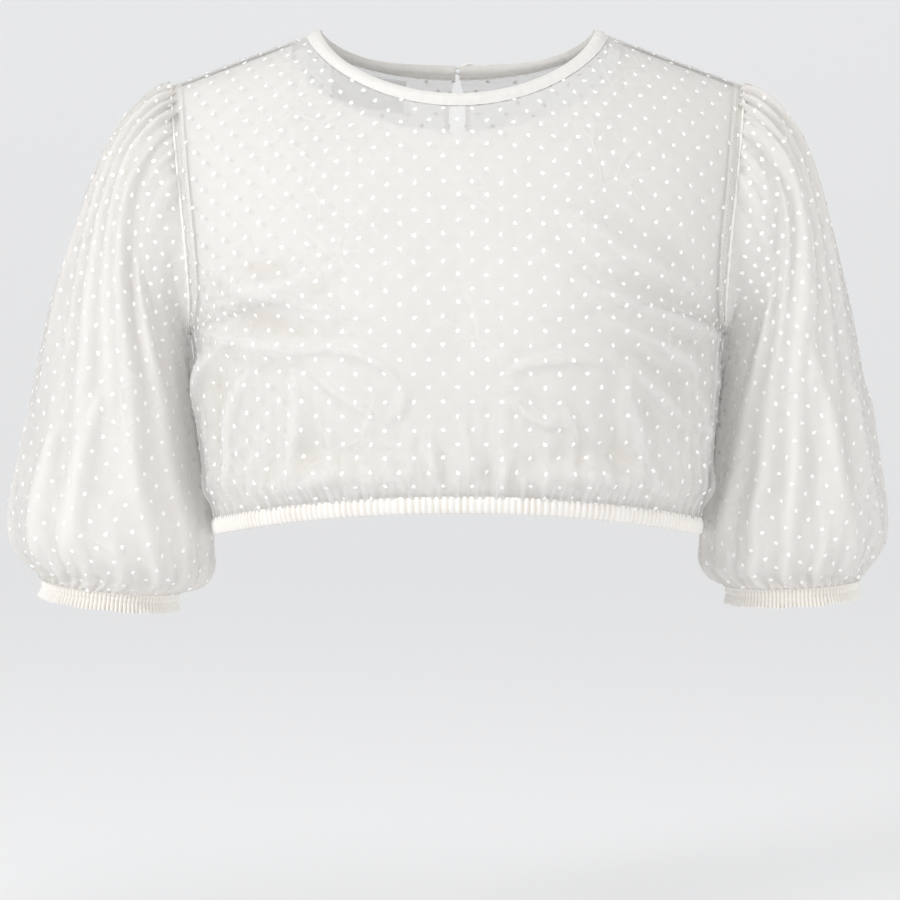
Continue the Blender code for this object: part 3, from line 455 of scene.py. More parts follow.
# Folds.
def crease(x, z, row):
    """How far one crease lifts the cloth, with a trough on both sides, and how closely it is folded."""
    start, middle, end = np.array(row[:6]).reshape(3, 2)
    height, width = row[6:]
    nearest, along = np.full(x.shape, 9.0), np.zeros(x.shape)
    steps = np.linspace(0, 1, 26)
    path = np.outer((1 - steps) ** 2, start) + np.outer(2 * steps * (1 - steps), middle)
    path = path + np.outer(steps**2, end)
    path = path + np.outer(2 * steps * (1 - steps), middle - (start + end) / 2) * 0.6
    for step, point in zip(steps, path):
        distance = np.hypot(x - point[0], z - point[1])
        closer = distance < nearest
        nearest, along = np.where(closer, distance, nearest), np.where(closer, step, along)
    across = nearest / (width * (0.55 + 0.6 * np.sin(np.pi * along)))
    profile = np.exp(-(across**2)) - 0.28 * np.exp(-((across - 1.9) ** 2))
    strength = np.sin(np.pi * (0.06 + 0.88 * along)) ** 0.8
    closeness = 0.8 * np.exp(-((across * 2.0) ** 2)) - 0.40 * np.exp(-(((across - 1.5) / 0.6) ** 2))
    return CREASE_DEPTH * height * strength * profile, strength * closeness * min(height / 0.002, 1.2)


def creases(side, x, z):
    """All the creases of one body panel: how far they lift the cloth, and how closely it is folded."""
    rows = FRONT_CREASES if side == "front" else BACK_CREASES
    lifts, closeness = zip(*(crease(x, z, row) for row in rows))
    return sum(lifts), sum(closeness)


def gathers(around, pleats, seed):
    """Uneven gathers round an edge: each rises and falls by its own height, about so many in all."""
    shift = 1.1 * wander(seed, around * pleats * 0.35) + 0.6 * wander(seed + 1, around * pleats * 0.9)
    height = 0.75 + 0.35 * wander(seed + 2, around * pleats * 0.6)
    return height * np.cos(2 * np.pi * pleats * around + shift)


def body_relief(side, points, across, down, seed):
    """The tulle's folds, slack and gathers on a body panel."""
    x, z = points[..., 0], points[..., 2]
    lift, folded = creases(side, x, z)
    slack = wander(seed, x / 0.017, z / 0.026) * 0.0007 + wander(seed + 3, x / 0.007, z / 0.012) * 0.00022
    from_hem = 1 - down
    fine = gathers(across, 44, seed + 5) * np.exp(-((from_hem / 0.045) ** 1.2))
    middling = gathers(across, 19, seed + 9) * np.exp(-((from_hem / 0.13) ** 1.4))
    broad = gathers(across, 9, seed + 13) * np.exp(-((from_hem / 0.22) ** 1.6)) * smooth(from_hem / 0.06)
    uneven = 0.75 + 0.45 * wander(seed + 11, across * 9)
    bags = ((0.095, 0.040), (0.150, 0.020))
    heavy = sum(np.exp(-(((np.abs(x) - place) / width) ** 2)) for place, width in bags)
    overhang = (0.0006 + 0.0030 * heavy) * np.exp(-(((from_hem - 0.075) / 0.034) ** 2))
    lift = lift + slack + (0.0019 * middling + 0.0017 * broad) * uneven + overhang
    edges = smooth(from_hem / 0.070) * (0.2 + 0.8 * smooth(down / 0.05))
    edges = edges * smooth((1 - np.abs(across)) / 0.05 + 0.15)
    ridges = 0.8 * fine + 0.6 * middling * uneven + 0.25 * broad
    return lift * edges + 0.0008 * fine + 0.0004 * middling, np.clip(folded + ridges, -1, 1.2)


# The form of the sleeves.
def armhole(around):
    """A point of the left armhole seam: 0 is the shoulder, 0.5 the underarm, positive the front."""
    turned = (around + 0.5) % 1.0 - 0.5
    share = UNDERARM_DOWN
    down = share * (1 - np.cos(2 * np.pi * np.abs(turned))) / 2
    ones = np.ones(turned.shape)
    front, back = (panel.grid(ones, np.minimum(down, share)) for panel in (FRONT, BACK))
    return np.where((turned >= 0)[..., None], front, back)


def sleeve_form(around, along, which):
    size = SLEEVES[which]
    turn = 2 * np.pi * around
    outer = np.stack((size("outer_x", along), size("outer_z", along)), -1)
    inner = np.stack((size("inner_x", along), size("inner_z", along)), -1)
    x, z = np.moveaxis((outer + inner) / 2 + (outer - inner) / 2 * np.cos(turn)[..., None], -1, 0)
    y = size("middle_y", along) - size("half_depth", along) * np.sin(turn)
    share = 1 - (1 - np.clip(along / 0.16, 0, 1)[..., None]) ** 2
    seam = armhole(around) + np.array((SLEEVE_SEAM_OFFSET, 0, 0))
    return seam * (1 - share) + np.stack((x, y, z), -1) * share


def cloth_round(around, along):
    """Where the cloth's threads lie round the sleeve: drawn up to the head, and hanging straight below."""
    turned = (around + 0.5) % 1.0 - 0.5
    drawn_up = np.sign(turned) * 0.5 * (1 - (1 - np.minimum(2 * np.abs(turned), 1)) ** 2.2)
    share = smooth(along / 0.50) ** 0.8
    return drawn_up * (1 - share) + turned * share


def sleeve_relief(around, along, which, seed):
    """The sleeve's gathers at its head and cuff, and the long folds down its threads between them."""
    thread = cloth_round(around, along)
    turned = (around + 0.5) % 1.0 - 0.5
    girth = 0.40
    lift, folded = np.zeros(thread.shape), np.zeros(thread.shape)
    for start_round, end_round, start, end, height, width in SLEEVE_FOLDS[which]:
        share = np.clip((along - start) / (end - start), 0, 1)
        middle = start_round + (end_round - start_round) * share
        middle = middle + 0.006 * np.sin(np.pi * share + start_round * 9)
        across = (thread - middle + 0.5) % 1.0 - 0.5
        across = across * girth / (width * (0.55 + 0.75 * np.sin(np.pi * share)))
        taper = smooth((1 - share) / 0.6)
        if start > 0:
            taper = smooth(share / 0.12) * smooth((1 - share) / 0.35)
        lift += 1.25 * height * taper * (np.exp(-(across**2)) - 0.25 * np.exp(-((np.abs(across) - 1.8) ** 2)))
        folded = np.maximum(folded, taper * np.exp(-((across * 1.8) ** 2)) * 0.8)
    head = smooth((0.32 - np.abs(turned)) / 0.14)
    fine = gathers(thread, 46, seed) * np.exp(-along / 0.05)
    broad = gathers(thread, 20, seed + 3) * np.exp(-along / 0.16) * smooth(along / 0.015)
    soft = gathers(thread, 9, seed + 4) * np.exp(-along / 0.42) * smooth(along / 0.05)
    cuff_fine = np.cos(np.pi * CUFF_PLEATS * around) * np.exp(-(1 - along) / 0.022)
    cuff_mid = gathers(thread, 34, seed + 7) * np.exp(-(1 - along) / 0.095) * smooth((1 - along) / 0.02)
    cuff_broad = gathers(thread, 15, seed + 8) * np.exp(-(1 - along) / 0.24) * smooth((1 - along) / 0.06)
    slack = wander(seed + 5, thread * 30, along * 4) * 0.0009
    beside_body = 1 - 0.85 * smooth((np.abs(turned) - 0.36) / 0.08) * smooth((0.85 - along) / 0.10)
    lift = lift * smooth((1 - along) / 0.05) + slack * smooth(along / 0.05) * smooth((1 - along) / 0.05)
    lift = lift * beside_body + head * (0.0007 * fine + 0.0013 * broad + 0.0016 * soft)
    lift = lift + 0.0009 * cuff_fine + 0.0020 * cuff_mid + 0.0028 * cuff_broad
    ridges = head * (0.5 * fine + 0.5 * broad + 0.25 * soft)
    ridges = ridges + 0.4 * cuff_fine + 0.5 * cuff_mid + 0.4 * cuff_broad
    close = smooth((np.abs(thread) - 0.06) / 0.10) * smooth((0.50 - np.abs(thread)) / 0.10)
    return lift, np.clip(folded + ridges + 0.75 * close, -1, 1.6)


def sleeve_grid(around, along, which, seed):
    """The sleeve's finished points and normals over a closed grid."""
    points = sleeve_form(around, along, which)
    middle = points.mean(axis=1, keepdims=True)
    outward = grid_normals(points, True, middle)
    level = unit(points - middle)
    near_cuff = smooth((along - 0.97) / 0.03)[..., None]
    outward = unit(outward * (1 - near_cuff) + level * near_cuff)
    lift, folded = sleeve_relief(around, along, which, seed)
    return points + outward * lift[..., None], folded


# Making meshes.
def arc_lengths(points, axis):
    """Lengths along a grid's rows or columns, from its first point."""
    steps = np.linalg.norm(np.diff(points, axis=axis), axis=-1)
    start = np.zeros_like(np.take(steps, [0], axis=axis))
    return np.concatenate((start, np.cumsum(steps, axis=axis)), axis=axis)


def new_mesh(name, vertices, faces, material):
    mesh = bpy.data.meshes.new(name)
    mesh.from_pydata(np.asarray(vertices, float).tolist(), [], faces)
    mesh.materials.append(material)
    mesh.shade_smooth()
    made = bpy.data.objects.new(name, mesh)
    bpy.context.scene.collection.objects.link(made)
    return made


def face_corners(grid):
    """The grid's values at the four corners of each of its faces."""
    return np.stack((grid[:-1, :-1], grid[1:, :-1], grid[1:, 1:], grid[:-1, 1:]), 2)


def grid_mesh(name, points, flat, material, closed=False, folded=None):
    """A sheet from a grid of points (rows, columns), with its place on the flat cloth as its UV map."""
    rows, columns = points.shape[:2]
    number = np.arange(rows * columns).reshape(rows, columns)
    if closed:
        number = np.concatenate((number, number[:, :1]), axis=1)
    made = new_mesh(name, points.reshape(-1, 3), face_corners(number).reshape(-1, 4).tolist(), material)
    mesh = made.data
    layer = mesh.uv_layers.new(name="cloth")
    layer.data.foreach_set("uv", face_corners(flat).astype(np.float32).ravel())
    if folded is not None:
        layer = mesh.attributes.new("folded", "FLOAT", "POINT")
        layer.data.foreach_set("value", folded.astype(np.float32).ravel())
    return made


def face_outwards(made, outward_from):
    """Turns the sheet so that its faces point away from the middle of the piece."""
    mesh = made.data
    centre = Vector(outward_from)
    total = sum((polygon.center - centre).dot(polygon.normal) * polygon.area for polygon in mesh.polygons)
    if total < 0:
        mesh.flip_normals()
    return made


# Painted shade: a warm, darker colour mixed into the cloth's colour in the hollows between folds, where shade
# falls.
PAINTED_HOLLOW_SHADE = (0.74, 0.66, 0.56)


# Shader sums.
class Socket:
    """A node's output, on which the usual operators add Math nodes."""

    def __init__(self, tree, output):
        self.tree, self.output = tree, output

    def _math(self, operation, *values):
        return add_node(self.tree, "ShaderNodeMath", {"operation": operation}, dict(enumerate(values)))

    def __add__(self, other):
        return self._math("ADD", self, other)

    def __sub__(self, other):
        return self._math("SUBTRACT", self, other)

    def __rsub__(self, other):
        return self._math("SUBTRACT", other, self)

    def __mul__(self, other):
        return self._math("MULTIPLY", self, other)

    def __truediv__(self, other):
        return self._math("DIVIDE", self, other)

    def __pow__(self, other):
        return self._math("POWER", self, other)

    __radd__, __rmul__ = __add__, __mul__

    def sine(self):
        return self._math("SINE", self)

    def size(self):
        return self._math("ABSOLUTE", self)

    def larger(self, other):
        return self._math("MAXIMUM", self, other)

    def smaller(self, other):
        return self._math("MINIMUM", self, other)

    def ramped(self, low, high):
        """0 at low, 1 at high and smooth between."""
        settings = {"interpolation_type": "SMOOTHSTEP"}
        return add_node(self.tree, "ShaderNodeMapRange", settings, {0: self, 1: low, 2: high})


def add_node(tree, kind, settings=None, inputs=None, output=0):
    """A node with its settings, and the values or links of its sockets by number or name."""
    node = tree.nodes.new(kind)
    for name, value in (settings or {}).items():
        setattr(node, name, value)
    for key, value in (inputs or {}).items():
        if isinstance(value, Socket):
            tree.links.new(value.output, node.inputs[key])
        else:
            node.inputs[key].default_value = value
    return Socket(tree, node.outputs[output])


def finish_of(name, colour, roughness, **constants):
    """A Principled material with its constants set, and its tree and shader to build on."""
    made = bpy.data.materials.new(name)
    made.use_nodes = True
    tree = made.node_tree
    shader = tree.nodes["Principled BSDF"]
    shader.inputs["Base Color"].default_value = (*colour, 1)
    shader.inputs["Roughness"].default_value = roughness
    for key, value in constants.items():
        shader.inputs[key.replace("_", " ")].default_value = value
    return made, tree, shader


def feed(tree, shader, socket, value):
    tree.links.new(value.output, shader.inputs[socket])


def bumped(tree, shader, height, distance, strength=1.0):
    inputs = {"Strength": strength, "Distance": distance, "Height": height}
    bump = add_node(tree, "ShaderNodeBump", None, inputs)
    feed(tree, shader, "Normal", bump)


def mixed(tree, factor, under, colour):
    """The second colour over the first, which may be a colour or a node's output."""
    under = under if isinstance(under, Socket) else (*under, 1)
    inputs = {0: factor, 6: under, 7: (*colour, 1)}
    return add_node(tree, "ShaderNodeMix", {"data_type": "RGBA"}, inputs, output=2)


def flat_place(tree):
    """The two directions of the flat cloth, in metres."""
    uv = add_node(tree, "ShaderNodeUVMap", {"uv_map": "cloth"})
    parts = tree.nodes.new("ShaderNodeSeparateXYZ")
    tree.links.new(uv.output, parts.inputs[0])
    return uv, Socket(tree, parts.outputs[0]), Socket(tree, parts.outputs[1])


def net_threads(tree, pitch):
    """1 on the threads of a diamond net and 0 in its holes."""
    uv, across, along = flat_place(tree)
    turn = np.pi / pitch
    one = ((across + along) * turn).sine().size()
    other = ((across - along) * turn).sine().size()
    return uv, (1.0 - one.smaller(other)).ramped(0.45, 0.95)


def clouds(tree, uv, scale):
    """Soft unevenness over the flat cloth."""
    inputs = {"Vector": uv, "Scale": scale, "Detail": 1.0, "Roughness": 0.6}
    return add_node(tree, "ShaderNodeTexNoise", None, inputs)


def crinkles(tree, uv):
    """Thin creases in a wandering network, only where a slow cloud lets them show."""
    bend = add_node(tree, "ShaderNodeTexNoise", None, {"Vector": uv, "Scale": 22.0, "Detail": 0.0}, output=1)
    inputs = {0: bend, 1: (0.03, 0.03, 0), 2: uv}
    bent = add_node(tree, "ShaderNodeVectorMath", {"operation": "MULTIPLY_ADD"}, inputs)
    inputs = {"Vector": bent, "Scale": 32.0, "Randomness": 1.0}
    edge = add_node(tree, "ShaderNodeTexVoronoi", {"feature": "DISTANCE_TO_EDGE"}, inputs)
    shown = add_node(tree, "ShaderNodeTexNoise", None, {"Vector": uv, "Scale": 14.0, "Detail": 0.0})
    return edge.ramped(0.07, 0.0) * shown.ramped(0.50, 0.68)


def tulle_finish(name, colour, open_alpha, thread_alpha):
    """Sheer net, closer where it is folded or gathered, as its mesh's folded values say."""
    sheen = {"Sheen_Weight": 0.25, "Sheen_Roughness": 0.4}
    made, tree, shader = finish_of(name, colour, 0.8, Specular_IOR_Level=0.25, **sheen)
    uv, threads = net_threads(tree, NET_PITCH)
    cloud = clouds(tree, uv, 60.0)
    folded = add_node(tree, "ShaderNodeAttribute", {"attribute_name": "folded"}, output=2)
    lines = crinkles(tree, uv)
    alpha = threads * (thread_alpha - open_alpha) + open_alpha + (cloud - 0.5) * 0.08 + lines * 0.06
    alpha = alpha + folded.larger(0.0) * 0.26 + folded.smaller(0.0) * -0.06
    feed(tree, shader, "Alpha", alpha.smaller(1.0))
    # Painted shade: the tulle's colour turns warm and dark in the hollows between its folds.
    hollow_shade_share = folded.ramped(-0.1, -0.9) * 0.38
    fresh = mixed(tree, cloud, tuple(c * 0.975 for c in colour), colour)
    feed(tree, shader, "Base Color", mixed(tree, hollow_shade_share, fresh, PAINTED_HOLLOW_SHADE))
    bumped(tree, shader, lines + threads * 0.2, 0.0006, 0.8)
    return made


def seam_finish(name, colour, edge_colour):
    """Doubled tulle of a seam's inside, whiter along both its edges."""
    made, tree, shader = finish_of(name, colour, 0.8, Sheen_Weight=0.2, Specular_IOR_Level=0.25)
    uv, across, along = flat_place(tree)
    edge = (across - SEAM_MIDDLE).size().ramped(SEAM_MIDDLE * 0.66, SEAM_MIDDLE * 0.84)
    feed(tree, shader, "Base Color", mixed(tree, edge, colour, edge_colour))
    feed(tree, shader, "Alpha", edge * 0.30 + 0.62)
    return made


def ribbed_finish(name, colour, roughness, pitch, depth, gathered=False):
    """Plain woven cloth with a fine grain both ways, and shade painted warm into the hollows of its gathers
    if it has any.
    """
    made, tree, shader = finish_of(name, colour, roughness, Sheen_Weight=0.2, Specular_IOR_Level=0.3)
    uv, across, along = flat_place(tree)
    turn = 2 * np.pi / pitch
    weave = (across * turn).sine() * (along * turn).sine() * 0.5 + 0.5
    cloud = clouds(tree, uv, 90.0)
    fresh = mixed(tree, cloud, tuple(c * 0.97 for c in colour), colour)
    # Painted shade: a warm darker colour in the hollows of the gathers, by the mesh's folded values.
    if gathered:
        folded = add_node(tree, "ShaderNodeAttribute", {"attribute_name": "folded"}, output=2)
        fresh = mixed(tree, folded.ramped(0.2, -0.9) * 0.6, fresh, PAINTED_HOLLOW_SHADE)
    feed(tree, shader, "Base Color", fresh)
    feed(tree, shader, "Roughness", cloud * 0.12 + (roughness - 0.06))
    bumped(tree, shader, weave + cloud * 0.8, depth)
    return made


TULLE = tulle_finish("dotted_tulle", (0.94, 0.928, 0.905), 0.30, 0.70)
# The sleeves' tulle is the body's net, painted a little darker and warmer as the shade inside the unlined
# sleeves, and a little closer.
SLEEVE_TULLE = tulle_finish("sleeve_tulle", (0.94, 0.915, 0.88), 0.36, 0.74)
DOTS = ribbed_finish("woven_dots", (0.97, 0.965, 0.955), 0.75, 0.0005, 0.0001)
LINING = ribbed_finish("lining_cloth", (0.92, 0.905, 0.875), 0.8, 0.0007, 0.00008)
BINDING = ribbed_finish("binding_cloth", (0.84, 0.82, 0.79), 0.6, 0.0009, 0.00016)
# The casing takes painted shade in the hollows of its gathers.
CASING = ribbed_finish("elastic_casing", (0.95, 0.93, 0.895), 0.75, 0.0008, 0.0001, gathered=True)
SEAM_TULLE = seam_finish("seam_tulle", (0.93, 0.89, 0.84), (0.97, 0.955, 0.93))
THREAD = ribbed_finish("thread", (0.95, 0.94, 0.91), 0.6, 0.0004, 0.0001)
LABEL = ribbed_finish("label_satin", (0.97, 0.975, 0.99), 0.35, 0.0004, 0.00004)
BUTTON = finish_of("button_shell", (0.80, 0.74, 0.66), 0.22, Coat_Weight=0.6, Coat_Roughness=0.1)[0]


# Body panels.
def softened(directions, times):
    """Directions over a grid, evened out with their neighbours' so many times."""
    for _ in range(times):
        wide = np.pad(directions, ((1, 1), (1, 1), (0, 0)), mode="edge")
        beside = wide[:-2, 1:-1] + wide[2:, 1:-1] + wide[1:-1, :-2] + wide[1:-1, 2:]
        directions = unit(beside + 2 * directions)
    return directions


def body_points(panel, across, down, seed):
    points = panel.grid(across, down)
    outward = body_normals(points, down)
    if seed is None:
        outward = softened(outward, 8)
        loose = LINING_LOOSENESS * np.sin(np.pi * down) * (1 - across**2)
        followed = creases(panel.side, points[..., 0], points[..., 2])[0] * smooth((1 - down) / 0.08)
        depth = LINING_TOP_DEPTH + (LINING_HEM_DEPTH - LINING_TOP_DEPTH) * down + loose - 0.8 * followed
        return points - outward * depth[..., None], points, None
    lift, folded = body_relief(panel.side, points, across, down, seed)
    return points + outward * lift[..., None], points, folded


def flat_cloth(points, across):
    """The grid laid flat: sideways from the centre line, and up from the hem band."""
    sideways = arc_lengths(points, 1)
    centre = np.argmin(np.abs(across[0]))
    sideways = sideways - sideways[:, centre : centre + 1]
    upward = arc_lengths(points[::-1], 0)[::-1]
    hem_drop = points[-1:, :, 2] - points[-1:, centre : centre + 1, 2]
    return np.stack((sideways, upward + hem_drop), -1)


def body_panel(name, panel, low, high, material, seed, columns, rows):
    across, down = np.meshgrid(np.linspace(low, high, columns + 1), np.linspace(0, 1, rows + 1))
    points, plain, folded = body_points(panel, across, down, seed)
    made = grid_mesh(name, points, flat_cloth(plain, across), material, folded=folded)
    return face_outwards(made, (0, SHOULDER_SEAM_Y, -0.18))


front = body_panel("front_tulle", FRONT, -1, 1, TULLE, 11, 2 * PANEL_COLUMNS, PANEL_ROWS)
back_left = body_panel("back_left_tulle", BACK, 0, 1, TULLE, 23, PANEL_COLUMNS, PANEL_ROWS)
back_right = body_panel("back_right_tulle", BACK, -1, -1e-9, TULLE, 37, PANEL_COLUMNS, PANEL_ROWS)
LINING_CLOTH = (-1, 1, LINING, None, 2 * LINING_COLUMNS, LINING_ROWS)
lining_front = body_panel("lining_front_cloth", LINING_FRONT, *LINING_CLOTH)
lining_back = body_panel("lining_back_cloth", LINING_BACK, *LINING_CLOTH)


def under_tulle(panel, across, down, seed, depth):
    """Points just inside a body panel's folds."""
    points, plain, folded = body_points(panel, across, down, seed)
    return points - body_normals(plain, down) * depth


def joined_grids(name, grids, material):
    """One sheet of several strips, with each strip's lengths across and along as its UV map."""
    vertices, quads, flats = [], [], []
    for points in grids:
        rows, columns = points.shape[:2]
        number = np.arange(rows * columns).reshape(rows, columns) + sum(len(part) for part in vertices)
        flat = np.stack((arc_lengths(points, 1), arc_lengths(points, 0)), -1)
        vertices.append(points.reshape(-1, 3))
        quads.append(face_corners(number).reshape(-1, 4))
        flats.append(face_corners(flat).reshape(-1, 2))
    made = new_mesh(name, np.concatenate(vertices), np.concatenate(quads).tolist(), material)
    layer = made.data.uv_layers.new(name="cloth")
    layer.data.foreach_set("uv", np.concatenate(flats).astype(np.float32).ravel())
    return made


SEAM_ALLOWANCE = 0.033
PANEL_SEEDS = {"front": 11, "left": 23, "right": 37}


def seam_allowances(which):
    """The neatened seam edges inside the tulle: at the armhole, side, shoulder and slit."""
    sign = towards(which)
    inside = np.linspace(0, 1, 5)
    grids = []
    lengths = ((0.0, UNDERARM_DOWN, SEAM_ALLOWANCE), (UNDERARM_DOWN, 1.0, 0.8 * SEAM_ALLOWANCE))
    for panel, seed in ((FRONT, PANEL_SEEDS["front"]), (BACK, PANEL_SEEDS[which])):
        for start, end, width in lengths:
            across, down = np.meshgrid(1 - inside * width, np.linspace(start, end, 90))
            grids.append(under_tulle(panel, sign * across, down, seed, 0.0008))
    across, down = np.meshgrid(np.linspace(0.5, 1, 40), inside * 0.016)
    grids.append(under_tulle(BACK, sign * across, down, PANEL_SEEDS[which], 0.0010))
    across, down = np.meshgrid(inside * 0.012 + 0.0005, np.linspace(0.03, 1.0, 120))
    grids.append(under_tulle(BACK, sign * across, down, PANEL_SEEDS[which], 0.0008))
    return joined_grids("seams_" + which, grids, SEAM_TULLE)


def armhole_roll(which):
    """The rounded ridge where the gathered sleeve turns in to the armhole seam."""
    around, turn = np.meshgrid(np.arange(360) / 360, np.arange(8) / 8 * 2 * np.pi)
    path = armhole(around[0]) + np.array((0.0007, 0, 0))
    along = unit(np.roll(path, -1, axis=0) - np.roll(path, 1, axis=0))
    aside = np.zeros_like(path) + np.array((1.0, 0, 0))
    aside = unit(aside - along * (aside * along).sum(-1, keepdims=True))
    outward = np.cross(along, aside)
    radius = 0.00105 + 0.00022 * gathers(around, 46, 51)
    out_by = aside[None] * np.cos(turn)[..., None] + outward[None] * np.sin(turn)[..., None]
    points = path[None] + out_by * radius[..., None]
    points = np.swapaxes(points, 0, 1) * np.array((towards(which), 1, 1))
    points = np.concatenate((points, points[:1]))
    flat = np.stack((arc_lengths(points, 1), arc_lengths(points, 0)), -1)
    flat = np.concatenate((flat, flat[:, -1:] + (0.0008, 0)), axis=1)
    made = grid_mesh("armhole_roll_" + which, points, flat, CASING, closed=True)
    return face_outwards(made, tuple(path.mean(0) * np.array((towards(which), 1, 1))))


seams_left, seams_right = seam_allowances("left"), seam_allowances("right")
rolls = [armhole_roll("left"), armhole_roll("right")]


# Sleeves and cuffs.
def sleeve(which, seed):
    round_steps = np.arange(SLEEVE_COLUMNS) / SLEEVE_COLUMNS
    around, along = np.meshgrid(round_steps, np.linspace(0, 1, SLEEVE_ROWS + 1))
    points, folded = sleeve_grid(around, along, which, seed)
    grain = SLEEVE_GRAIN[which]
    thread = cloth_round(around, along)
    half = SLEEVE_COLUMNS // 2
    thread = np.concatenate((thread[:, half:], thread[:, : half + 1]), axis=1)
    thread[:, -1] = 0.5
    upward = arc_lengths(sleeve_form(around, along, which)[::-1], 0)[::-1]
    upward = np.concatenate((upward[:, half:], upward[:, : half + 1]), axis=1)
    points, folded = (np.roll(values, -half, axis=1) for values in (points, folded))
    flat_u, flat_v = thread * SLEEVE_CUT_WIDTH, upward
    turned_u = flat_u * np.cos(grain) - flat_v * np.sin(grain)
    turned_v = flat_u * np.sin(grain) + flat_v * np.cos(grain)
    flat = np.stack((turned_u, turned_v), -1)
    mirror = np.array((towards(which), 1, 1))
    made = grid_mesh("sleeve_" + which + "_tulle", points * mirror, flat, SLEEVE_TULLE, True, folded)
    return face_outwards(made, points.mean((0, 1)) * mirror)


def cuff(which):
    around, along = np.meshgrid(np.arange(CUFF_COLUMNS) / CUFF_COLUMNS, np.linspace(0, 1, CUFF_ROWS + 1))
    end = sleeve_form(around[:1], np.ones((1, CUFF_COLUMNS)), which)[0]
    middle = end.mean(0)
    quarter = CUFF_COLUMNS // 4
    axis = unit(np.cross(end[quarter] - middle, end[0] - middle))
    axis = axis * (-1.0 if axis[2] > 0 else 1.0)
    outward = unit(end - middle)[None]
    pleats = np.cos(2 * np.pi * CUFF_PLEATS * around)
    pleats = pleats + 0.35 * wander(5, around * 140) * smooth((along - 0.6) / 0.4)
    ruffle = 0.0007 * wander(8, around * 70) * smooth((along - 0.7) / 0.3)
    puckers = 0.00030 * np.cos(2 * np.pi * along * 3.2) * (along < 0.75)
    spread = CUFF("spread", along) + CUFF("pleat_depth", along) * pleats + puckers
    drop = SEAM_GAP + CUFF("drop", along) + ruffle
    points = end[None] + axis * drop[..., None] + outward * spread[..., None]
    mirror = np.array((towards(which), 1, 1))
    around_flat = np.linspace(0, 0.62, CUFF_COLUMNS + 1)[None, :] + np.zeros((CUFF_ROWS + 1, 1))
    down_flat = np.linspace(0.012, 0, CUFF_ROWS + 1)[:, None] + np.zeros((1, CUFF_COLUMNS + 1))
    flat = np.stack((around_flat, down_flat), -1)
    made = grid_mesh("cuff_" + which + "_casing", points * mirror, flat, CASING, True, pleats)
    return face_outwards(made, points.mean((0, 1)) * mirror)


sleeve_left, sleeve_right = sleeve("left", 51), sleeve("right", 67)
cuff_left, cuff_right = cuff("left"), cuff("right")


# Hem band.
def hem_band():
    """The gathered casing of the hem elastic, rolled under along its bottom edge."""
    turned = np.arange(HEM_COLUMNS) / HEM_COLUMNS * 2 * np.pi
    front_here = np.cos(turned) >= 0
    angle = np.arcsin(np.clip(np.sin(turned), -1, 1))
    rows = []
    pleats = gathers(turned / (2 * np.pi), HEM_GATHERS, 71)
    for number, (height_up, out_by) in enumerate(HEM_SECTION):
        points = np.zeros((HEM_COLUMNS, 3))
        for side, here in (("front", front_here), ("back", ~front_here)):
            points[here] = torso(side, angle[here], hem_height(side, angle[here]) + height_up)
        outward = np.cross(np.roll(points, -1, axis=0) - np.roll(points, 1, axis=0), (0, 0, 1.0))
        outward = unit(outward * (1, 1, 0))
        away = (outward * (points - (0, SHOULDER_SEAM_Y, 0)))[:, :2].sum(-1, keepdims=True)
        outward = outward * np.where(away < 0, -1.0, 1.0)
        strength = 0.00055 if number < 8 else 0.0002
        rows.append(points + outward * (out_by + 0.0006 + strength * pleats)[:, None])
    points = np.array(rows)
    u = np.linspace(0, 1.3, HEM_COLUMNS + 1)[None, :] + np.zeros((len(rows), 1))
    v = np.linspace(0.02, 0, len(rows))[:, None] + np.zeros((1, HEM_COLUMNS + 1))
    folded = pleats[None, :] * np.linspace(1.0, 0.4, len(rows))[:, None]
    return grid_mesh("hem_band_casing", points, np.stack((u, v), -1), CASING, True, folded)


band = hem_band()


# Neck binding, label, button and loop.
def neck_stations(station):
    """The tulle's neck edge from the right back edge (-1) round the front (0) to the left one (1)."""
    turn = np.abs(station)
    flip = np.stack((np.where(station < 0, -1.0, 1.0), *np.ones((2, station.size))), -1)
    found = []
    for panel, across in ((FRONT, np.clip(turn, 0, 0.5)), (BACK, np.clip(1 - turn, 0, 0.5))):
        edge = panel.grid(across, np.zeros(station.size))
        below = panel.grid(across, np.full(station.size, 0.004))
        after, before = (
            panel.grid(np.clip(across + step, 0, 0.5), np.zeros(station.size)) for step in (0.003, -0.003)
        )
        beside = after - before
        normal = unit(np.cross(beside, below - edge))
        away = edge - (edge * (0, 0, 1) + BODY_AXIS)
        normal = normal * np.where((normal * away).sum(-1, keepdims=True) < 0, -1.0, 1.0)
        to_seam = np.clip(np.abs(edge[..., 1] - SHOULDER_SEAM_Y) / 0.012, 0, 1)
        normal = unit(normal * np.stack((np.ones(station.size), to_seam, np.ones(station.size)), -1))
        found.append((edge, edge - below, normal))
    on_front = (turn <= 0.5)[:, None]
    edge, off_edge, normal = (np.where(on_front, a, b) * flip for a, b in zip(*found))
    run = unit(np.gradient(edge, axis=0))
    off_edge = off_edge - run * (off_edge * run).sum(-1, keepdims=True)
    off_edge = unit(off_edge - normal * (off_edge * normal).sum(-1, keepdims=True))
    flat_out = unit(np.stack((run[:, 1], -run[:, 0], np.zeros(station.size)), -1))
    away = edge - np.array((0, SHOULDER_SEAM_Y, 0))
    flat_out = flat_out * np.where((flat_out * away).sum(-1, keepdims=True) < 0, -1.0, 1.0)
    sideways = np.abs(edge[:, 0] / NECK_HALF_WIDTH) ** 2
    lean = np.radians(BINDING_LEAN_CENTRE + (BINDING_LEAN_SIDE - BINDING_LEAN_CENTRE) * sideways)
    up = -flat_out * np.sin(lean)[:, None] + np.array((0, 0, 1.0)) * np.cos(lean)[:, None]
    up = unit(up - run * (up * run).sum(-1, keepdims=True))
    out = unit(np.cross(run, up))
    out = out * np.where((out * flat_out).sum(-1, keepdims=True) < 0, -1.0, 1.0)
    return edge, off_edge, normal, up, out


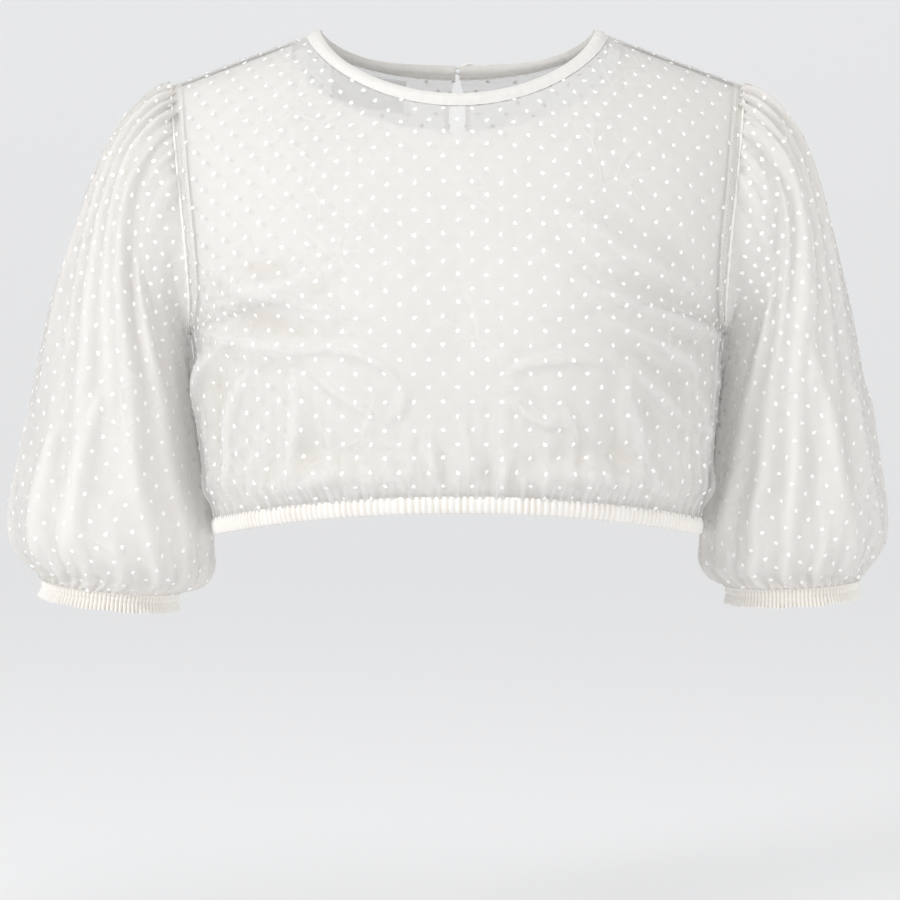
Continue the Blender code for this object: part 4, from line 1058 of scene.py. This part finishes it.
def neck_binding():
    """The bias strip, folded over the neck edge and open below, its ends turned in at the centre back."""
    edge, off_edge, normal, up, out = neck_stations(np.linspace(-1, 1, BINDING_STATIONS))
    foot = edge - off_edge * 0.0018
    forward = np.clip(-edge[:, 1:2] / np.abs(edge[:, 1]).max(), 0, 1)
    width = BINDING_WIDTH + (BINDING_FRONT_WIDTH - BINDING_WIDTH) * forward + 0.0012
    aside_back = np.exp(-(((np.abs(edge[:, :1]) - 0.060) / 0.026) ** 2)) * (edge[:, 1:2] > SHOULDER_SEAM_Y)
    width = width - 0.0022 * aside_back
    turn = np.linspace(0, 1, 25)
    share = np.sin(np.pi * turn) ** 0.62
    swelling = np.sin(np.pi * np.minimum(share, 1) ** 1.3) ** 0.8
    bulge = np.cos(np.pi * turn) * (0.30 + 1.07 * swelling)
    above = share[None, :] * width
    low = smooth(1 - above / 0.003)[..., None]
    side_way = unit(normal[:, None] * low + out[:, None] * (1 - low))
    place = np.arange(BINDING_STATIONS)[:, None] * 1.0
    pucker = 0.00016 * wander(91, place * 0.75, share[None, :] * 2)
    pucker = pucker + 0.00010 * wander(92, place * 0.22, share[None, :])
    stitch = -0.00030 * np.exp(-(((above - 0.0026) / 0.0006) ** 2))
    aside = bulge[None, :] * BINDING_THICKNESS / 2 + (pucker + stitch) * np.sign(bulge)[None, :]
    points = foot[:, None] + up[:, None] * above[..., None] + side_way * aside[..., None]
    length = arc_lengths(points.mean(1, keepdims=True), 0)
    flat = np.stack((np.repeat(length, turn.size, axis=1), arc_lengths(points, 1)), -1)
    made = grid_mesh("neck_binding_strip", points, flat, BINDING)
    shape = bmesh.new()
    shape.from_mesh(made.data)
    shape.verts.ensure_lookup_table()
    for row in (0, BINDING_STATIONS - 1):
        corners = [shape.verts[row * turn.size + column] for column in range(turn.size)]
        shape.faces.new(corners).smooth = False
    bmesh.ops.recalc_face_normals(shape, faces=shape.faces)
    shape.to_mesh(made.data)
    shape.free()
    return made


binding = neck_binding()


def label():
    """The bare satin label inside the back neck, its ends folded under and its top in the binding."""
    across, down = np.meshgrid(np.linspace(*LABEL_ACROSS, 61), np.linspace(*LABEL_DOWN, 31))
    plain = BACK.grid(-across, down)
    outward = body_normals(plain, down)
    side = np.abs(2 * (across - LABEL_ACROSS[0]) / (LABEL_ACROSS[1] - LABEL_ACROSS[0]) - 1)
    fall = (down - LABEL_DOWN[0]) / (LABEL_DOWN[1] - LABEL_DOWN[0])
    depth = LABEL_INSIDE + 0.0006 * fall * np.sin(4.0 * side + 1)
    depth = depth + 0.0004 * np.exp(-(((side - 0.90) / 0.02) ** 2))
    points = plain - outward * depth[..., None]
    flat = np.stack((arc_lengths(points, 1), arc_lengths(points, 0)), -1)
    made = grid_mesh("label_tape", points, flat, LABEL)
    wall = made.modifiers.new("wall", "SOLIDIFY")
    wall.thickness, wall.offset = 0.0005, 0.0
    return made


tape = label()
PIECES = {
    "label": tape,
    "front": front,
    "back_left": back_left,
    "back_right": back_right,
    "lining_front": lining_front,
    "lining_back": lining_back,
    "sleeve_left": sleeve_left,
    "sleeve_right": sleeve_right,
    "cuff_left": cuff_left,
    "cuff_right": cuff_right,
    "hem_band": band,
    "neck_binding": binding,
}
for node, piece in PIECES.items():
    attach(piece, "root")
    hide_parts(node)


# Woven dots and stitches.
class Growth:
    """Geometry Nodes that lay small copies on a piece, built node by node."""

    def __init__(self, name, inputs):
        self.tree = bpy.data.node_groups.new(name, "GeometryNodeTree")
        face = self.tree.interface
        face.new_socket("Geometry", in_out="INPUT", socket_type="NodeSocketGeometry")
        face.new_socket("Result", in_out="OUTPUT", socket_type="NodeSocketGeometry")
        for label, kind in inputs.items():
            face.new_socket(label, in_out="INPUT", socket_type="NodeSocket" + kind)
        self.given = self.tree.nodes.new("NodeGroupInput").outputs

    def node(self, kind, settings=None, **inputs):
        """A node's outputs. Inputs go by name, with _ for a space, or by number after a first _."""
        made = self.tree.nodes.new(kind)
        for key, value in (settings or {}).items():
            setattr(made, key, value)
        for key, value in inputs.items():
            socket = made.inputs[int(key[1:])] if key[0] == "_" else made.inputs[key.replace("_", " ")]
            if isinstance(value, bpy.types.NodeSocket):
                self.tree.links.new(value, socket)
            else:
                socket.default_value = value
        return made.outputs

    def math(self, operation, a, b=0.0, c=0.0):
        return self.node("ShaderNodeMath", {"operation": operation}, _0=a, _1=b, _2=c)[0]

    def random(self, kind, low, high, seed):
        first, output = (0, 0) if kind == "FLOAT_VECTOR" else (2, 1)
        inputs = {f"_{first}": low, f"_{first + 1}": high, "Seed": seed}
        return self.node("FunctionNodeRandomValue", {"data_type": kind}, **inputs)[output]

    def named(self, name, kind="FLOAT_VECTOR"):
        return self.node("GeometryNodeInputNamedAttribute", {"data_type": kind}, Name=name)[0]

    def stored(self, geometry, name, value, kind="FLOAT_VECTOR"):
        inputs = {"Geometry": geometry, "Name": name, "Value": value}
        return self.node("GeometryNodeStoreNamedAttribute", {"data_type": kind}, **inputs)[0]

    def finished(self, placed):
        """The tree, ended in real copies, smooth and of the given material."""
        real = self.node("GeometryNodeRealizeInstances", Geometry=placed)[0]
        smoothed = self.node("GeometryNodeSetShadeSmooth", _0=real)[0]
        done = self.node("GeometryNodeSetMaterial", Geometry=smoothed, Material=self.given["Material"])[0]
        self.tree.links.new(done, self.tree.nodes.new("NodeGroupOutput").inputs[0])
        return self.tree


def dot_tree():
    """Scatters dots over a sheet on its flat cloth's lattice, each lying on the cloth."""
    inputs = dict.fromkeys(("Column", "Row", "Radius", "Height", "Low across", "Low up"), "Float")
    inputs |= {"Across count": "Int", "Up count": "Int", "Material": "Material"}
    grow = Growth("woven dots", inputs)
    given, node, math = grow.given, grow.node, grow.math
    points = node("GeometryNodePoints", Count=math("MULTIPLY", given["Across count"], given["Up count"]))[0]
    index = node("GeometryNodeInputIndex")[0]
    column = math("FLOORED_MODULO", index, given["Across count"])
    row = math("FLOOR", math("DIVIDE", index, given["Across count"]))
    stagger = math("MULTIPLY", math("FLOORED_MODULO", row, 2.0), 0.5)
    jitter = node("ShaderNodeSeparateXYZ", _0=grow.random("FLOAT_VECTOR", (-1, -1, -1), (1, 1, 1), 4))
    across = math("MULTIPLY_ADD", math("ADD", column, stagger), given["Column"], given["Low across"])
    across = math("ADD", across, math("MULTIPLY", jitter[0], DOT_JITTER))
    up = math("MULTIPLY_ADD", row, math("MULTIPLY", given["Row"], 0.5), given["Low up"])
    up = math("ADD", up, math("MULTIPLY", jitter[1], DOT_JITTER))
    place = node("ShaderNodeCombineXYZ", _0=across, _1=up)[0]
    uv = grow.named("cloth")
    at, out = (
        node(
            "GeometryNodeSampleUVSurface",
            {"data_type": "FLOAT_VECTOR"},
            Mesh=given["Geometry"],
            Value=node(kind)[0],
            UV_Map=uv,
            Sample_UV=place,
        )
        for kind in ("GeometryNodeInputPosition", "GeometryNodeInputNormal")
    )
    points = grow.stored(points, "out", out["Value"])
    points = grow.stored(points, "on cloth", at["Is Valid"], "BOOLEAN")
    points = node("GeometryNodeSetPosition", Position=at["Value"], Geometry=points)[0]
    off = node("FunctionNodeBooleanMath", {"operation": "NOT"}, _0=grow.named("on cloth", "BOOLEAN"))[0]
    points = node("GeometryNodeDeleteGeometry", {"domain": "POINT"}, Selection=off, Geometry=points)[0]
    filled = {"fill_type": "TRIANGLE_FAN"}
    circle = node("GeometryNodeMeshCircle", filled, Vertices=9, Radius=given["Radius"])[0]
    here = node("GeometryNodeInputPosition")[0]
    ragged = grow.random("FLOAT", -0.30, 0.10, 21)
    inward = node("ShaderNodeVectorMath", {"operation": "SCALE"}, _0=here, Scale=ragged)[0]
    reach = node("ShaderNodeVectorMath", {"operation": "LENGTH"}, _0=here)["Value"]
    falling = math("SUBTRACT", 1.0, math("DIVIDE", reach, given["Radius"]))
    raised = node("ShaderNodeCombineXYZ", _2=math("MULTIPLY_ADD", falling, given["Height"], 0.00012))[0]
    lifted = node("ShaderNodeVectorMath", {"operation": "ADD"}, _0=inward, _1=raised)[0]
    disc = node("GeometryNodeSetPosition", Geometry=circle, Offset=lifted)[0]
    rotation = node("FunctionNodeAlignRotationToVector", {"axis": "Z"}, Vector=grow.named("out"))[0]
    spin = node("ShaderNodeCombineXYZ", _2=grow.random("FLOAT", 0.0, 6.28, 9))[0]
    spin = node("FunctionNodeEulerToRotation", _0=spin)[0]
    local = {"rotation_space": "LOCAL"}
    rotation = node("FunctionNodeRotateRotation", local, Rotation=rotation, Rotate_By=spin)[0]
    size = grow.random("FLOAT_VECTOR", (0.92, 0.74, 0.8), (1.15, 0.98, 1.2), 15)
    inputs = {"Points": points, "Instance": disc, "Rotation": rotation, "Scale": size}
    return grow.finished(node("GeometryNodeInstanceOnPoints", **inputs)[0])


def stitch_tree():
    """Lays one stitch after another along a line of edges."""
    inputs = dict.fromkeys(("Pitch", "Length", "Thickness"), "Float") | {"Material": "Material"}
    grow = Growth("stitches", inputs)
    given, node = grow.given, grow.node
    line = node("GeometryNodeMeshToCurve", _0=given["Geometry"])[0]
    points = node("GeometryNodeCurveToPoints", {"mode": "LENGTH"}, Curve=line, Length=given["Pitch"])
    stitch = node("GeometryNodeMeshUVSphere", Segments=5, Rings=4, Radius=0.5)[0]
    shape = {"_0": given["Thickness"], "_1": given["Thickness"], "_2": given["Length"]}
    shape = node("ShaderNodeCombineXYZ", **shape)[0]
    turned = node("FunctionNodeAlignRotationToVector", {"axis": "Z"}, Vector=points["Tangent"])[0]
    inputs = {"Points": points["Points"], "Instance": stitch, "Rotation": turned, "Scale": shape}
    return grow.finished(node("GeometryNodeInstanceOnPoints", **inputs)[0])


def grown(name, mesh, tree, values):
    """What the tree grows on the mesh, as a plain mesh in a new object."""
    made = bpy.data.objects.new(name, mesh)
    bpy.context.scene.collection.objects.link(made)
    growth = made.modifiers.new("growth", "NODES")
    growth.node_group = tree
    for item in tree.interface.items_tree:
        if item.item_type == "SOCKET" and item.in_out == "INPUT" and item.name in values:
            growth[item.identifier] = values[item.name]
    graph = bpy.context.evaluated_depsgraph_get()
    finished = bpy.data.meshes.new_from_object(made.evaluated_get(graph))
    finished.name = name
    made.modifiers.remove(growth)
    made.data = finished
    return made


def scatter_dots(sheet, tree):
    flat = np.empty(len(sheet.data.loops) * 2, np.float32)
    sheet.data.uv_layers["cloth"].data.foreach_get("uv", flat)
    flat = flat.reshape(-1, 2)
    low, high = flat.min(0), flat.max(0)
    start_across = np.floor(low[0] / DOT_COLUMN) * DOT_COLUMN
    start_up = np.floor(low[1] / DOT_ROW) * DOT_ROW
    values = {
        "Column": DOT_COLUMN,
        "Row": DOT_ROW,
        "Radius": DOT_RADIUS,
        "Height": DOT_HEIGHT,
        "Low across": float(start_across),
        "Low up": float(start_up),
        "Across count": int((high[0] - start_across) / DOT_COLUMN) + 2,
        "Up count": int((high[1] - start_up) / (DOT_ROW / 2)) + 2,
        "Material": DOTS,
    }
    return grown(sheet.name.replace("_tulle", "_dots"), sheet.data.copy(), tree, values)


def stitch_lines():
    """Where the seams are sewn: along the binding's foot inside and out, and beside each armhole."""
    lines = []
    edge, off_edge, normal, up, out = neck_stations(np.linspace(-0.995, 0.995, BINDING_STATIONS))
    for face in (1, -1):
        lines.append(edge + up * 0.0014 + normal * face * (BINDING_THICKNESS * 0.42))
    for which in ("left", "right"):
        for inward in (0.006, 0.027):
            for panel, seed in ((FRONT, PANEL_SEEDS["front"]), (BACK, PANEL_SEEDS[which])):
                beside = 1 - inward - np.array((0, 0.004))
                across, down = np.meshgrid(beside, np.linspace(0, UNDERARM_DOWN, 240))
                lines.append(under_tulle(panel, towards(which) * across, down, seed, -0.0003)[:, 0])
    return lines


def sew(lines, tree):
    vertices = np.concatenate(lines)
    starts = np.cumsum([0] + [len(line) for line in lines])
    edges = [(i, i + 1) for a, b in zip(starts[:-1], starts[1:]) for i in range(a, b - 1)]
    mesh = bpy.data.meshes.new("seam lines")
    mesh.from_pydata(vertices.tolist(), edges, [])
    values = {"Pitch": 0.0026, "Length": 0.0020, "Thickness": 0.00032, "Material": THREAD}
    return grown("stitches", mesh, tree, values)


stitches = sew(stitch_lines(), stitch_tree())
lattice = dot_tree()
dots = [scatter_dots(sheet, lattice) for sheet in (front, back_left, back_right, sleeve_left, sleeve_right)]
for piece in (*dots, seams_left, seams_right, *rolls, stitches):
    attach(piece, "root")
for node, material in (("button", BUTTON), ("button_loop", THREAD)):
    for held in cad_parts[node].material_slots:
        held.material = material

# Flat sizes of the cut cloth: width and length, and the share of that rectangle that the piece covers.
for piece, flat, held, rests, area in (
    (front, (0.50, 0.36), "draped", ["lining_front_cloth"], 0.128),
    (back_left, (0.25, 0.36), "draped", ["lining_back_cloth"], 0.064),
    (back_right, (0.25, 0.36), "draped", ["lining_back_cloth"], 0.064),
    (lining_front, (0.48, 0.33), "draped", ["neck_binding_strip"], 0.118),
    (lining_back, (0.46, 0.33), "draped", ["neck_binding_strip"], 0.109),
    (sleeve_left, (0.44, 0.34), "gathered", ["cuff_left_casing"], 0.105),
    (sleeve_right, (0.44, 0.35), "gathered", ["cuff_right_casing"], 0.112),
    (cuff_left, (0.52, 0.013), "gathered", ["sleeve_left_tulle"], 0.0060),
    (cuff_right, (0.52, 0.013), "gathered", ["sleeve_right_tulle"], 0.0060),
    (band, (1.15, 0.022), "gathered", ["front_tulle"], 0.0240),
    (binding, (0.55, 0.022), "folded", ["front_tulle"], 0.0112),
    (tape, (0.046, 0.034), "hung", ["neck_binding_strip"], 0.00150),
):
    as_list(rests)


# Floor, light and camera.
def studio():
    """A pale floor that sweeps up into a pale wall behind, well below the blouse."""
    floor_z, wall_y, bend, half = -0.62, 3.6, 1.0, 7.0
    profile = [(-6.0, floor_z), (wall_y - bend, floor_z)]
    for turn in np.linspace(0.1, np.pi / 2, 14):
        profile.append((wall_y - bend + bend * np.sin(turn), floor_z + bend - bend * np.cos(turn)))
    profile += [(wall_y, 4.0)]
    vertices = [(side * half, y, z) for y, z in profile for side in (-1, 1)]
    faces = [(2 * i, 2 * i + 1, 2 * i + 3, 2 * i + 2) for i in range(len(profile) - 1)]
    paper, tree, shader = finish_of("studio_paper", (0.68, 0.685, 0.695), 0.9)
    shader.inputs["Emission Color"].default_value = (1, 1, 1, 1)
    shader.inputs["Emission Strength"].default_value = 0.26
    sweep = new_mesh("studio_sweep", vertices, faces, paper)


def soft_light(name, place, target, size, power):
    data = bpy.data.lights.new(name, "AREA")
    data.shape, data.size, data.energy = "DISK", size, power
    lamp = bpy.data.objects.new(name, data)
    lamp.location = place
    lamp.rotation_euler = (Vector(target) - Vector(place)).to_track_quat("-Z", "Y").to_euler()
    bpy.context.scene.collection.objects.link(lamp)


def camera():
    place, aim = Vector((-0.0049, -2.4, -0.10)), Vector((-0.0049, 0, -0.276))
    frame_width = 0.59
    data = bpy.data.cameras.new("camera")
    data.lens = data.sensor_width * (aim - place).length / frame_width
    made = bpy.data.objects.new("camera", data)
    made.location = place
    made.rotation_euler = (aim - place).to_track_quat("-Z", "Y").to_euler()
    bpy.context.scene.collection.objects.link(made)
    bpy.context.scene.camera = made


studio()
soft_light("key", (-2.2, -1.5, 0.8), (0, 0, -0.2), 0.9, 35)
soft_light("fill", (2.0, -2.0, 0.1), (0, 0, -0.2), 1.8, 18)
soft_light("low", (0.3, -2.2, -1.2), (0, 0, -0.3), 1.6, 24)
soft_light("top", (0.1, -0.9, 1.7), (0, 0, -0.1), 1.0, 8)
camera()
world = bpy.data.worlds.new("studio_air")
world.use_nodes = True
world.node_tree.nodes["Background"].inputs["Color"].default_value = (1, 1, 1, 1)
world.node_tree.nodes["Background"].inputs["Strength"].default_value = 0.56
bpy.context.scene.world = world
bpy.context.scene.view_settings.view_transform = "Standard"
bpy.context.scene.cycles.max_bounces = 6
bpy.context.scene.cycles.diffuse_bounces = 3
